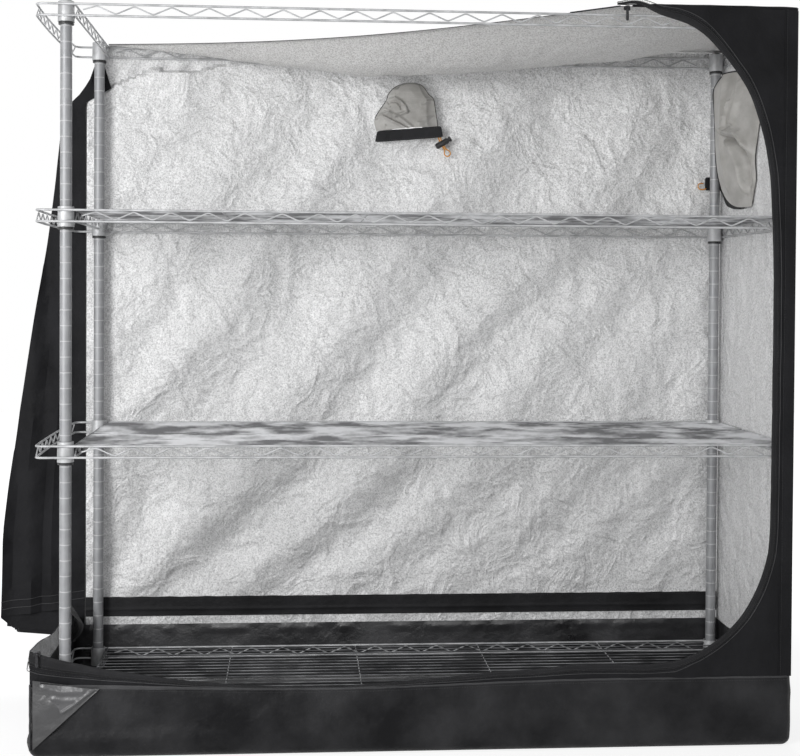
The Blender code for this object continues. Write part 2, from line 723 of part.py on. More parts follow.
def build_pan():
    """The waterproof pan: a floor and four low walls; the left one carries the door's zip strip."""
    left = INSIDE_LEFT - CLOTH
    right = INSIDE_RIGHT + CLOTH
    front = FRONT_Y - CLOTH
    rear = REAR_Y + CLOTH
    cut = PAN_CORNER_CUT
    floor = plate([(left + cut, front), (right - cut, front), (right, front + cut), (right, rear - cut),
                   (right - cut, rear), (left + cut, rear), (left, rear - cut), (left, front + cut)], CLOTH)
    put("pan_floor", floor, BLACK_GLOSS)
    base = CLOTH + FIT_GAP
    shoulder = base + cut / 2
    front_wall = [(left + cut, base), (right - cut, base), (right, shoulder)]
    front_wall += list(reversed(seam_points(left, right))) + [(left, shoulder)]
    put("pan_front", standing(plate(front_wall, CLOTH), FRONT_Y), BLACK_GLOSS)
    rear_wall = [(left + cut, base), (right - cut, base), (right, shoulder), (right, SEAM_HEIGHT),
                 (left, SEAM_HEIGHT), (left, shoulder)]
    put("pan_rear", standing(plate(rear_wall, CLOTH), REAR_Y + CLOTH), BLACK_GLOSS)
    low = FRONT_Y + FIT_GAP
    high = REAR_Y - FIT_GAP
    foot = [(low + cut, base), (high - cut, base), (high, shoulder)]
    right_wall = foot + [(high, SEAM_HEIGHT), (low, SEAM_HEIGHT), (low, shoulder)]
    left_wall = foot + [(high, LEFT_STRIP_REAR), (low, LEFT_STRIP_FRONT), (low, shoulder)]
    put("pan_right", side_panel(right_wall, INSIDE_RIGHT), BLACK_GLOSS)
    put("pan_left", side_panel(left_wall, left), BLACK_GLOSS)


def build_front_panel():
    """The fixed front cloth: a low strip along the pan and the column at the right."""
    edge = [(x, max(z, seam_height(x) + FIT_GAP + MIN_STRIP)) for x, z in edge_points()]
    right = INSIDE_RIGHT + CLOTH
    top = COVER_TOP - FIT_GAP
    seam = [(x, z + FIT_GAP) for x, z in seam_points(edge[0][0], right)]
    outline = seam + [(right, top), (edge[-1][0], top)] + list(reversed(edge[:-1]))
    put("front_panel", standing(plate(outline, CLOTH), FRONT_Y), BLACK_CLOTH)


def build_zip_tape():
    """Zip tape on the front cloth, along its curved edge."""
    edge = [Vector(point) for point in edge_points()]
    outer = []
    for index, point in enumerate(edge):
        before = edge[max(index - 1, 0)]
        after = edge[min(index + 1, len(edge) - 1)]
        ahead = (after - before).normalized()
        side = Vector((ahead.y, -ahead.x))
        share = min(1.0, max(0.0, (index - TAPER_FIRST_INDEX) / TAPER_POINTS))
        outer.append(point + side * (LOW_TAPE_WIDTH + (TAPE_WIDTH - LOW_TAPE_WIDTH) * share))
    for point in outer:
        point.y = min(point.y, COVER_TOP)
    outline = outer + list(reversed(edge))
    put("zip_tape_front", standing(plate(outline, TAPE_THICKNESS), FRONT_Y - CLOTH - FIT_GAP), ZIP_CLOTH)


def rear_fold(u, v):
    """Depth of the rear wall's folds, which lean from the upper right to the lower left."""
    depth = 0.0
    for middle, width, height in rear_fold_shares:
        offset = u - middle - REAR_FOLD_LEAN_SHARE * (v - 0.5)
        depth += height * math.exp(-(offset / width * REAR_FOLD_SHARPNESS) ** 2)
    border = min(1.0, FOLD_FADE * v, FOLD_FADE * (1 - v), FOLD_FADE * u, FOLD_FADE * (1 - u))
    return FOLD_DEPTH * depth * max(0.0, border)


def rear_left_edge(height):
    """The rear wall's left edge runs inwards towards the roof."""
    share = max(0.0, (height - (COVER_TOP - REAR_WALL_TAPER_HEIGHT)) / REAR_WALL_TAPER_HEIGHT)
    return REAR_WALL_LEFT + (REAR_WALL_TOP_INSET - REAR_WALL_INSET) * share


def roof_rear_height(x):
    share = (x - REAR_WALL_LEFT) / (INSIDE_RIGHT - REAR_WALL_LEFT)
    return ROOF_LEFT_HEIGHT + (COVER_TOP - ROOF_LEFT_HEIGHT) * share


def build_rear_wall():
    base = SEAM_HEIGHT + FIT_GAP

    def surface(u, v):
        rough_height = base + (COVER_TOP - base) * v
        x = rear_left_edge(rough_height)
        x += (INSIDE_RIGHT - FIT_GAP - x) * u
        height = base + (roof_rear_height(x) - FIT_GAP - base) * v
        from_port = math.hypot(x - REAR_PORT_X, height - REAR_PORT_HEIGHT)
        calm = min(1.0, max(0.0, from_port / REAR_PORT_DIAMETER - 1))
        return Vector((x, REAR_Y + rear_fold(u, v) * calm, height))

    mesh = cloth(surface, REAR_COLUMNS, REAR_ROWS, CLOTH, side=-1)
    reach = REAR_SLEEVE_BULGE
    port = rod((REAR_PORT_X, REAR_Y - reach, REAR_PORT_HEIGHT),
               (REAR_PORT_X, REAR_Y + reach, REAR_PORT_HEIGHT), REAR_PORT_DIAMETER, 2 * ROUND_STEPS)
    put("wall_rear", combine(mesh, [port], "DIFFERENCE"), FOIL)


def build_rear_band():
    """A black band sewn along the rear wall above the pan."""
    high = REAR_Y - FIT_GAP
    put("rear_band", box((REAR_WALL_LEFT, high - TAPE_THICKNESS, BAND_BASE),
                         (INSIDE_RIGHT - FIT_GAP, high, BAND_BASE + REAR_BAND_HEIGHT)), BLACK_CLOTH)


def build_right_wall():
    base = SEAM_HEIGHT + FIT_GAP
    low = FRONT_Y + FIT_GAP
    high = REAR_Y - FIT_GAP

    def surface(u, v):
        ripple = math.sin(math.pi * (SIDE_FOLD_COUNT * u + v)) ** 2
        ripple *= math.sin(math.pi * u) * math.sin(math.pi * v)
        return Vector((INSIDE_RIGHT + SIDE_FOLD_DEPTH * ripple, low + (high - low) * u,
                       base + (COVER_TOP - FIT_GAP - base) * v))

    mesh = cloth(surface, SIDE_COLUMNS, SIDE_ROWS, CLOTH, side=1)
    reach = SIDE_SLEEVE_BULGE
    port = rod((INSIDE_RIGHT - reach, SIDE_PORT_Y, SIDE_PORT_HEIGHT),
               (INSIDE_RIGHT + reach, SIDE_PORT_Y, SIDE_PORT_HEIGHT), SIDE_PORT_DIAMETER, 2 * ROUND_STEPS)
    put("wall_right", combine(mesh, [port], "DIFFERENCE"), FOIL)


# Roof

def roof_free_edge(share):
    """The roof's unzipped edge runs from the front to the rear left corner."""
    open_x = INSIDE_RIGHT - ROOF_OPEN_INSET
    left_x = REAR_WALL_LEFT + ROOF_LEFT_INSET
    x = left_x + (INSIDE_RIGHT - left_x) * share
    reach = min(1.0, (x - left_x) / (open_x - left_x))
    start = REAR_Y - ROOF_END_WIDTH
    return x, start - (start - FRONT_Y) * reach, reach


def roof_surface(u, v):
    """Roof cloth from its front or free edge (v = 0) to the rear wall (v = 1), hung between two lips."""
    x, y_edge, reach = roof_free_edge(u)
    span = REAR_Y - y_edge
    lip = min(ROOF_LIP, span / 3)
    row = v * ROOF_ROWS
    inner = min(1.0, max(0.0, (row - 1) / (ROOF_ROWS - 2)))
    y = y_edge + lip * min(1.0, row) + (span - 2 * lip) * inner + lip * max(0.0, row - ROOF_ROWS + 1)
    edge_height = ROOF_LEFT_HEIGHT + (COVER_TOP - ROOF_LEFT_HEIGHT) * reach
    if reach < 1:
        edge_height -= ROOF_EDGE_SAG * math.sin(math.pi * reach)
    height = edge_height + (roof_rear_height(x) - edge_height) * (y - y_edge) / span
    height -= ROOF_SAG * along(roof_sag_shares, u) * math.sin(math.pi * inner) ** ROOF_SAG_ROUNDNESS
    return Vector((x, y, height))


def build_roof():
    put("roof", cloth(roof_surface, ROOF_COLUMNS, ROOF_ROWS, CLOTH, side=1), FOIL)


def build_piping():
    """Piped seam round the roof's front and right edges."""
    height = COVER_TOP + PIPING_DIAMETER / 2 + CLOTH + FIT_GAP
    start = edge_points()[-1][0] + TAPE_WIDTH
    y = FRONT_Y - CLOTH + PIPING_DIAMETER / 2
    x = INSIDE_RIGHT + CLOTH - PIPING_DIAMETER / 2
    line = [(start, y, height), (x, y, height), (x, REAR_Y - PIPING_DIAMETER, height)]
    put("top_piping", wires([line], PIPING_DIAMETER, 1), BLACK_CLOTH)


# Door

def door_line(share):
    """One row of the gathered door, seen from above, from its seam to its free edge."""
    height = DOOR_TOP - (DOOR_TOP - DOOR_BOTTOM) * share
    width = DOOR_WIDTH * along(door_width_shares, share)
    right = rear_left_edge(height) - 2 * FIT_GAP - DOOR_WAVE
    inner = width * DOOR_INNER_SHARE
    seam = rear_left_edge(height) - 2 * FIT_GAP - CLOTH / 2
    line = [(seam, REAR_Y + CLOTH / 2)]
    for pleat in range(1, DOOR_PLEATS):
        y = REAR_Y + DOOR_PLEAT_SPACING * (pleat + 0.5)
        wave = DOOR_WAVE * math.sin(DOOR_WAVE_TURNS * share + pleat)
        ends = (right, right - inner) if pleat % 2 else (right - inner, right)
        parts = (0.0, 1.0)
        if pleat == DOOR_PLEATS - 1:
            ends = (right, right - width)
            parts = long_pleat_shares
        for part in parts:
            x = ends[0] + (ends[1] - ends[0]) * part
            bend = DOOR_WAVE * math.sin(math.pi * part)
            line.append((x, y + bend + wave * part * (1 - part)))
    near = REAR_Y + DOOR_PLEAT_SPACING / 2
    short = width - DOOR_PLEAT_SPACING
    for part in long_pleat_shares:
        wave = DOOR_WAVE * math.sin(2 * math.pi * part + DOOR_WAVE_TURNS * share)
        line.append((right - width + short * part, near + wave * (1 - part)))
    return line, height


def build_door():
    """The wrap-round door, gathered in pleats behind the rear left post."""
    rows = [share for share, value in door_width_shares]

    def surface(u, v):
        row = rows[round(v * (len(rows) - 1))]
        line, height = door_line(row)
        index = round(u * (len(line) - 1))
        x, y = line[index]
        lift = DOOR_HEM_LIFT * u if row == 1.0 else 0
        return Vector((x, y, height + lift))

    columns = len(door_line(0)[0]) - 1
    mesh = cloth(surface, columns, len(rows) - 1, CLOTH, side=0)
    hinge = pivot("door_axis", (REAR_WALL_LEFT, REAR_Y + DOOR_PLEAT_SPACING, 0))
    put("door_panel", mesh, BLACK_CLOTH, hinge)


# Vent sleeves

def crown(share):
    """A full-sided hump over the shares 0 to 1."""
    return max(0.0, math.sin(math.pi * share)) ** CROWN_ROUNDNESS


def build_rear_sleeve():
    """The rear port's sleeve, collapsed flat over the port, and the casing round its mouth."""
    back = REAR_Y - FIT_GAP
    slope = BAND_RISE / (BAND_RIGHT - BAND_LEFT)
    left_table = [(height, left) for height, left, right in rear_sleeve_shares]
    right_table = [(height, right) for height, left, right in rear_sleeve_shares]

    def spot(u, v):
        left = along(left_table, v)
        right = along(right_table, v)
        x = REAR_PORT_X + REAR_SLEEVE_WIDTH * (left + (right - left) * u)
        low = BAND_LEFT_TOP + slope * (x - BAND_LEFT) + FIT_GAP
        return x, low + (REAR_SLEEVE_TOP - low) * v

    def front(u, v):
        x, height = spot(u, v)
        fold = math.sin(math.pi * (3 * u + 2 * v)) * math.sin(math.pi * u)
        height_share = 1 - REAR_SLEEVE_FOLD_SHARE + REAR_SLEEVE_FOLD_SHARE * fold
        depth = BAND_STANDOFF + REAR_SLEEVE_BULGE * crown(u) * crown(1 - SLEEVE_TOP_SHARE * v) * height_share
        return Vector((x, back - depth, height))

    def rear(u, v):
        x, height = spot(u, v)
        return Vector((x, back, height))

    put("rear_sleeve", slab(front, rear, REAR_SLEEVE_COLUMNS, REAR_SLEEVE_ROWS), GREY_CLOTH)

    def casing(y):
        return lambda u, v: Vector((BAND_LEFT + (BAND_RIGHT - BAND_LEFT) * u, y,
                                    BAND_LEFT_TOP + BAND_RISE * u - BAND_HEIGHT * (1 - v)))

    near = back - BAND_STANDOFF - BAND_THICKNESS
    put("rear_sleeve_casing", slab(casing(near), casing(back - BAND_STANDOFF), 2, 1), BLACK_CLOTH)


def side_path(share):
    """Plan line of the side sleeve: along the wall, then round behind the rear post."""
    bend_y = POST_Y + POST_RADIUS + SIDE_SLEEVE_THIN
    near_x = INSIDE_RIGHT - SIDE_SLEEVE_THIN - FIT_GAP
    straight = bend_y - SIDE_SLEEVE_FRONT
    wrap = near_x - (POST_X - POST_RADIUS - SIDE_TAB_REACH)
    length = (straight + wrap) * share
    if length <= straight:
        return near_x, SIDE_SLEEVE_FRONT + length, True
    return near_x - (length - straight), bend_y, False


def side_sleeve_heights(u):
    low = SIDE_SLEEVE_BASE + SIDE_SLEEVE_HEIGHT * along(side_sleeve_low_shares, u)
    high = SIDE_SLEEVE_BASE + SIDE_SLEEVE_HEIGHT * along(side_sleeve_high_shares, u)
    return low, high


def side_sleeve_depth(u, v):
    """How far the sleeve stands off the wall: deep towards the front, thin behind the post."""
    y = side_path(u)[1]
    post_face = POST_Y - POST_RADIUS
    room = min(1.0, max(0.0, (post_face - SIDE_SLEEVE_POST_GAP - y) / SIDE_SLEEVE_FADE))
    rounded = crown(min(1.0, SIDE_CROWN_START_SHARE + SIDE_CROWN_STRETCH * u))
    rounded *= crown(SIDE_CROWN_EDGE_SHARE + (1 - 2 * SIDE_CROWN_EDGE_SHARE) * v)
    fold = SIDE_SLEEVE_FOLD_SHARE * (math.sin(math.pi * (4 * u + v)) - 1)
    return SIDE_SLEEVE_BULGE * rounded * (1 + fold) * room


def side_point(u, height, depth):
    x, y, straight = side_path(u)
    if straight:
        return Vector((x - depth, y, height))
    return Vector((x, y - depth, height))


def build_side_sleeve():
    """The side port's sleeve, hanging from the port along the wall and behind the post."""
    def body(thin):
        def point(u, v):
            low, high = side_sleeve_heights(u)
            depth = -SIDE_SLEEVE_THIN if thin else side_sleeve_depth(u, v)
            return side_point(u, low + (high - low) * v, depth)
        return point

    def casing(thin):
        def point(u, v):
            low = side_sleeve_heights(u)[0] - HEM_CLEARANCE
            depth = -SIDE_SLEEVE_THIN if thin else side_sleeve_depth(u, 0)
            return side_point(u, low - BAND_HEIGHT * (1 - v), depth)
        return point

    put("side_sleeve", slab(body(False), body(True), SIDE_SLEEVE_COLUMNS, SIDE_SLEEVE_ROWS), GREY_CLOTH)
    put("side_sleeve_casing", slab(casing(False), casing(True), SIDE_SLEEVE_COLUMNS, 1), BLACK_CLOTH)


def build_cords():
    rear_start = Vector((REAR_PORT_X, REAR_Y, REAR_PORT_HEIGHT))
    side_start = Vector((POST_X, POST_Y, SIDE_PORT_HEIGHT))
    for name, start, route in (("rear_drawcord", rear_start, REAR_CORD_ROUTE),
                               ("side_drawcord", side_start, SIDE_CORD_ROUTE)):
        places = [start + Vector(offset) for offset in route]
        points = smooth_route(places, CORD_DIAMETER * CORD_STEP_DIAMETERS)
        put(name, wires([points], CORD_DIAMETER, 2), ORANGE)


def build_lock():
    """A barrel cord lock and its sprung plunger; both strands run through the barrel's slot."""
    tilt = math.radians(LOCK_TILT_DEGREES)
    axis = Vector((math.cos(tilt), 0, math.sin(tilt)))
    strands = Vector((-math.sin(tilt), 0, math.cos(tilt)))
    turn = Matrix((axis, strands.cross(axis), strands)).transposed().to_4x4()
    centre = Vector((REAR_PORT_X, REAR_Y, REAR_PORT_HEIGHT)) + Vector(LOCK_OFFSET)
    end = centre + axis * LOCK_LENGTH / 2
    bore = rod(end - axis * LOCK_BORE_DEPTH, end + axis * LOCK_BORE_DEPTH, LOCK_BORE_DIAMETER)
    slot = box((-LOCK_SLOT_LENGTH / 2, -LOCK_SLOT_WIDTH / 2, -LOCK_DIAMETER),
               (LOCK_SLOT_LENGTH / 2, LOCK_SLOT_WIDTH / 2, LOCK_DIAMETER))
    slot.transform(Matrix.Translation(centre) @ turn)
    barrel = rod(centre - axis * LOCK_LENGTH / 2, end, LOCK_DIAMETER)
    put("cord_lock", combine(barrel, [bore, slot], "DIFFERENCE"), BLACK_PLASTIC)
    face = end + axis * (PLUNGER_TRAVEL + FIT_GAP)
    stem = rod(end - axis * (LOCK_BORE_DEPTH - PLUNGER_TRAVEL - FIT_GAP), face,
               LOCK_BORE_DIAMETER - 2 * FIT_GAP)
    head = rod(face - axis * FIT_GAP, face + axis * PLUNGER_HEAD_LENGTH, PLUNGER_HEAD_DIAMETER)
    place = pivot("cord_lock_axis", end)
    put("cord_lock_plunger", combine(stem, [head], "UNION"), BLACK_PLASTIC, place)


# Zip sliders

def build_slider(name, place):
    """A slider on the zip's outer side, with a pull that hangs from its pin."""
    x, z = place
    y = FRONT_Y - CLOTH - TAPE_THICKNESS - 2 * FIT_GAP
    body = box((x - SLIDER_LENGTH / 2, y - SLIDER_THICKNESS, z - SLIDER_WIDTH / 2),
               (x + SLIDER_LENGTH / 2, y, z + SLIDER_WIDTH / 2))
    face = y - SLIDER_THICKNESS
    lugs = []
    for side in (-1, 1):
        middle = x + side * (SLIDER_LENGTH / 2 - LUG_LENGTH / 2)
        lugs.append(box((middle - LUG_LENGTH / 2, face - LUG_RISE, z - LUG_WIDTH / 2),
                        (middle + LUG_LENGTH / 2, face + FIT_GAP, z + LUG_WIDTH / 2)))
    pin_y = face - LUG_RISE + PIN_DIAMETER
    inside = SLIDER_LENGTH / 2 - LUG_LENGTH / 2
    lugs.append(rod((x - inside, pin_y, z), (x + inside, pin_y, z), PIN_DIAMETER, SMALL_ROUND_STEPS))
    put(name + "_slider", combine(body, lugs, "UNION"), BLACK_METAL)
    bore = PIN_DIAMETER + 2 * FIT_GAP
    eye = rod((x - PULL_WIDTH / 2, pin_y, z), (x + PULL_WIDTH / 2, pin_y, z), bore + 2 * EYE_WALL,
              SMALL_ROUND_STEPS)
    hole = rod((x - PULL_WIDTH, pin_y, z), (x + PULL_WIDTH, pin_y, z), bore, SMALL_ROUND_STEPS)
    tab = box((x - PULL_WIDTH / 2, pin_y - PULL_THICKNESS / 2, z - PULL_LENGTH),
              (x + PULL_WIDTH / 2, pin_y + PULL_THICKNESS / 2, z - bore / 2 - FIT_GAP))
    mesh = combine(combine(eye, [tab], "UNION"), [hole], "DIFFERENCE")
    axis = pivot(name + "_pull_axis", (x, pin_y, z))
    put(name + "_pull", mesh, BLACK_METAL, axis)


def build_sliders():
    """One slider near the front left corner and one where the front zip meets the roof."""
    edge = edge_points()
    for name, first, second in (("low_zip", edge[0], edge[1]), ("top_zip", edge[-1], edge[-2])):
        build_slider(name, [start + (end - start) * SLIDER_PLACE_SHARE for start, end in zip(first, second)])


clear_scene()
PARTS = new_collection("indoor_grow_tent")
CUTTERS = new_collection("cutters")
STEEL = paint("grey_coated_steel", (0.40, 0.41, 0.42), 0.38, 0.85)
BLACK_PLASTIC = paint("black_plastic", (0.02, 0.02, 0.02), 0.45)
BLACK_METAL = paint("black_metal", (0.03, 0.03, 0.03), 0.35, 0.9)
BLACK_CLOTH = paint("black_cloth", (0.022, 0.022, 0.024), 0.75)
BLACK_GLOSS = paint("black_coated_cloth", (0.015, 0.015, 0.016), 0.32)
ZIP_CLOTH = paint("zip_tape", (0.03, 0.03, 0.032), 0.7)
FOIL = paint("foil_cloth", (0.70, 0.70, 0.71), 0.35, 0.5)
GREY_CLOTH = paint("light_grey_cloth", (0.42, 0.41, 0.39), 0.6)
ORANGE = paint("orange_cord", (0.80, 0.33, 0.02), 0.7)

build_posts()
build_caps()
build_feet()
build_sleeves()
build_shelves()
build_pan()
build_front_panel()
build_zip_tape()
build_rear_wall()
build_rear_band()
build_right_wall()
build_roof()
build_piping()
build_door()
build_rear_sleeve()
build_side_sleeve()
build_cords()
build_lock()
build_sliders()
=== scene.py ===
import json
import math

import bmesh
import bpy
from mathutils import Matrix, Vector, noise

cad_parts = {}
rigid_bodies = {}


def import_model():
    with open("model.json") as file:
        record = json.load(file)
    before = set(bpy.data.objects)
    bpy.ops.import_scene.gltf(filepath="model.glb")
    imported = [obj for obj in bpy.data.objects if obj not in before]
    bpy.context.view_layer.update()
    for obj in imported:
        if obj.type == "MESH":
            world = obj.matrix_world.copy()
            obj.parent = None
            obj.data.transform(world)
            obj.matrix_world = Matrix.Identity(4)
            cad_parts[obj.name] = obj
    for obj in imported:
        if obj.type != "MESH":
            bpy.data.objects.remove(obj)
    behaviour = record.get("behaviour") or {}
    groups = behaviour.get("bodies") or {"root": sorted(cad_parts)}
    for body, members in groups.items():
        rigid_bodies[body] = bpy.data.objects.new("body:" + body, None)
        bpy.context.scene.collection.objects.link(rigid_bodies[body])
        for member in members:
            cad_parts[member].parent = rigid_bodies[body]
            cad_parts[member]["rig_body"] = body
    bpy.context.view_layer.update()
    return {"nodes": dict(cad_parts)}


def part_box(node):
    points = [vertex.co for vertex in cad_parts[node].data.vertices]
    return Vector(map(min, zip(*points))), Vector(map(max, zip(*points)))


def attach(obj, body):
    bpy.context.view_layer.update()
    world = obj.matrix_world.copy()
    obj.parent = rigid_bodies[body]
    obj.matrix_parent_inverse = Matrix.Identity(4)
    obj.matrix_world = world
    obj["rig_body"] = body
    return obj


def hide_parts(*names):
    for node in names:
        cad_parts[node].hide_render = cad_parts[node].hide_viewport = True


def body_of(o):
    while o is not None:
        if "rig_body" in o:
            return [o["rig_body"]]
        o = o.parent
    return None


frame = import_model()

# Photograph and camera
IMAGE_WIDTH = 800
IMAGE_HEIGHT = 756
CAMERA_PLACE = Vector((-0.2192, -2.418, 0.7608))
CAMERA_YAW = 4.131
CAMERA_PITCH = 1.012
CAMERA_ROLL = 0.360
FOCAL_PIXELS = 1359.1
CENTRE_PIXEL = (395.05, 314.34)
SENSOR_WIDTH = 36.0

# Sizes read from the frame's own pieces
FIT_GAP = 0.0003
low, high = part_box("post_front_left")
POST_RADIUS = (high[0] - low[0]) / 2
POST_X = -(high[0] + low[0]) / 2
POST_Y = -(high[1] + low[1]) / 2
POST_BASE = low[2]
POST_TOP = high[2]
COLLAR_RISE = 0.006
LEVEL_NAMES = ("bottom_shelf", "middle_shelf", "upper_shelf", "top")
LEVELS = [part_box(name + "_frame")[1][2] - COLLAR_RISE for name in LEVEL_NAMES]
PLACES = {
    "front_left": (-POST_X, -POST_Y),
    "front_right": (POST_X, -POST_Y),
    "rear_left": (-POST_X, POST_Y),
    "rear_right": (POST_X, POST_Y),
}

# Drawcords, on the same routes as in the part
CORD_DIAMETER = 0.0024
REAR_CORD_ROUTE = (
    (0.0513, 0.1960, 1.0555), (0.0524, 0.1954, 1.0518), (0.0548, 0.1945, 1.0465), (0.0566, 0.1945, 1.0434),
    (0.0584, 0.1945, 1.0403), (0.0603, 0.1945, 1.0371), (0.0621, 0.1945, 1.0339), (0.0631, 0.1945, 1.0304),
    (0.0627, 0.1945, 1.0261), (0.0637, 0.1945, 1.0226), (0.0658, 0.1945, 1.0205), (0.0687, 0.1945, 1.0198),
    (0.0715, 0.1945, 1.0205), (0.0736, 0.1945, 1.0226), (0.0743, 0.1945, 1.0255), (0.0736, 0.1945, 1.0283),
    (0.0711, 0.1945, 1.0310), (0.0671, 0.1945, 1.0328), (0.0646, 0.1945, 1.0354), (0.0628, 0.1945, 1.0385),
    (0.0610, 0.1945, 1.0417), (0.0592, 0.1945, 1.0448), (0.0574, 0.1945, 1.0479), (0.0562, 0.1954, 1.0524),
    (0.0553, 0.1960, 1.0559),
)
SIDE_CORD_ROUTE = (
    (0.5739, 0.1997, 0.9740), (0.5716, 0.1996, 0.9740), (0.5690, 0.1993, 0.9740), (0.5660, 0.1987, 0.9732),
    (0.5637, 0.1981, 0.9709), (0.5629, 0.1974, 0.9679), (0.5637, 0.1968, 0.9648), (0.5660, 0.1962, 0.9626),
    (0.5690, 0.1956, 0.9618), (0.5723, 0.1955, 0.9618), (0.5754, 0.1958, 0.9625), (0.5782, 0.1963, 0.9640),
)


# Camera

def add_camera():
    """The photograph's viewpoint, worked out from the posts and the shelf levels in it."""
    yaw = math.radians(CAMERA_YAW)
    pitch = math.radians(CAMERA_PITCH)
    roll = math.radians(CAMERA_ROLL)
    right = Vector((math.cos(yaw), -math.sin(yaw), 0))
    ahead = Vector((math.sin(yaw) * math.cos(pitch), math.cos(yaw) * math.cos(pitch), -math.sin(pitch)))
    up = right.cross(ahead)
    side = math.cos(roll) * right + math.sin(roll) * up
    top = math.cos(roll) * up - math.sin(roll) * right
    data = bpy.data.cameras.new("photo_camera")
    data.sensor_width = SENSOR_WIDTH
    data.lens = FOCAL_PIXELS / IMAGE_WIDTH * SENSOR_WIDTH
    data.shift_x = (IMAGE_WIDTH / 2 - CENTRE_PIXEL[0]) / IMAGE_WIDTH
    data.shift_y = (CENTRE_PIXEL[1] - IMAGE_HEIGHT / 2) / IMAGE_WIDTH
    camera = bpy.data.objects.new("photo_camera", data)
    turn = Matrix((side, top, -ahead)).transposed().to_4x4()
    camera.matrix_world = Matrix.Translation(CAMERA_PLACE) @ turn
    bpy.context.scene.collection.objects.link(camera)
    bpy.context.scene.camera = camera


add_camera()


# Sizes of the cover, read from the frame
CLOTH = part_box("pan_floor")[1][2]
INSIDE_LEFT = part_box("pan_left")[1][0]
INSIDE_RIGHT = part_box("pan_right")[0][0]
FRONT_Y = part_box("pan_front")[1][1]
REAR_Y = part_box("pan_rear")[0][1]
SEAM_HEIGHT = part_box("pan_right")[1][2]
COVER_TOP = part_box("wall_right")[1][2] + FIT_GAP
COVER_WIDTH = INSIDE_RIGHT - INSIDE_LEFT
REAR_WALL_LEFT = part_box("wall_rear")[0][0]

# Stitches, seams and bindings
STITCH_SPACING = 0.0042
STITCH_SIZE = (0.0026, 0.0006, 0.0006)
BAND_STITCH_SIZE = (0.0026, 0.0008, 0.0006)
CASING_STITCH_SPACING = 0.0036
CASING_STITCH_SIZE = (0.0024, 0.0006, 0.0006)
COIL_SPACING = 0.0021
COIL_TOOTH_SIZE = (0.0013, 0.0022, 0.0022)
TAPE_BINDING_DIAMETER = 0.0013
CURL_BINDING_DIAMETER = 0.0015
COLUMN_SEAM_DIAMETER = 0.0014
CORNER_BINDING_DIAMETER = 0.0034
HEM_SEAM_DIAMETER = 0.0011
REAR_SLEEVE_BINDING_DIAMETER = 0.0016
SIDE_SLEEVE_BINDING_DIAMETER = 0.0032
PAN_RIBBON_WIDTH = 0.0024
PAN_RIBBON_WIDENING = 0.0046

# Rack details
ROUND_STEPS = 40
FOOT_PAD_HEIGHT = 0.0055
FOOT_NECK_HEIGHT = 0.004
FOOT_THREAD_PITCH = 0.001
WELD = 0.00002
WELD_DEPTH = 0.0008
GROOVE_SPACING = 0.0254
GROOVE_DEPTH = 0.0004
GROOVE_WIDTH = 0.0014
GROOVE_COUNT = 47
GROOVE_BASE = 0.0154
RAIL_DIAMETER = 0.0038
RAIL_DROP = 0.0185
RAIL_CORNER_RADIUS = 0.012
LEFT_BOW = 0.004
ZIGZAG_DIAMETER = 0.0025
ZIGZAG_PITCH = 0.0596
ZIGZAG_START = 0.0285
ZIGZAG_FIRST_SHARE = 0.375
END_ZIGZAG_PITCH = 0.0418
ZIGZAG_BEND = 0.004
DECK_WIRE_DIAMETER = 0.0022
DECK_WIRE_COUNT = 20
DECK_RISE = 0.0006
CROSS_WIRE_COUNT = 4
COLLAR_DROP = 0.027
COLLAR_WALL = 0.0016
SLEEVE_WALL = 0.0013
SLEEVE_TAPER = 0.0005
SLEEVE_RISE = 0.005
SLEEVE_SLIT = 0.0006
RING_HEIGHT = 0.004
RING_STEP = 0.0009
EDGE_ROUND = 0.0004
SLEEVE_BORE = POST_RADIUS + FIT_GAP
SLEEVE_TOP_RADIUS = SLEEVE_BORE + SLEEVE_WALL
SLEEVE_BOTTOM_RADIUS = SLEEVE_TOP_RADIUS + SLEEVE_TAPER
COLLAR_BORE_TOP = SLEEVE_TOP_RADIUS + FIT_GAP
COLLAR_BORE_BOTTOM = SLEEVE_BOTTOM_RADIUS + FIT_GAP
COLLAR_RADIUS_TOP = COLLAR_BORE_TOP + COLLAR_WALL
COLLAR_RADIUS_BOTTOM = COLLAR_BORE_BOTTOM + COLLAR_WALL
RAIL_RADIUS = RAIL_DIAMETER / 2
RAIL_OFFSET = COLLAR_RADIUS_BOTTOM + RAIL_RADIUS - WELD_DEPTH
RAIL_Y = POST_Y + RAIL_OFFSET
RIGHT_RAIL_X = POST_X + RAIL_OFFSET
LEFT_RAIL_X = INSIDE_LEFT + FIT_GAP + RAIL_RADIUS + LEFT_BOW
INNER_RAIL_X = -POST_X + COLLAR_RADIUS_BOTTOM + FIT_GAP + RAIL_RADIUS

# Cover details
TAPE_WIDTH = 0.018
SIDE_TAPE_WIDTH = 0.013
LOW_TAPE_WIDTH = 0.030
TAPE_SHARE = 0.62
TAPE_THICKNESS = 0.001
TAPE_NARROWING = 0.0006
PIPING_DIAMETER = 0.005
ZIP_HUMP = 0.0105
ZIP_HUMP_X = 0.337
ZIP_HUMP_WIDTH = 0.030
EDGE_WAVE = 0.0030
TURN_START = 0.86
TURN_END = 0.97
TURN_HEIGHT = 0.42
COLUMN_SEAM_INSET = 0.021
FLAP_LEFT = ((-0.6289, 0.1262), (-0.6230, 0.1120), (-0.6100, 0.0985), (-0.5990, 0.0880), (-0.5955, 0.0785))
FLAP_RIGHT = ((-0.5400, 0.1160), (-0.5560, 0.1040), (-0.5732, 0.0900), (-0.5860, 0.0815), (-0.5939, 0.0775))
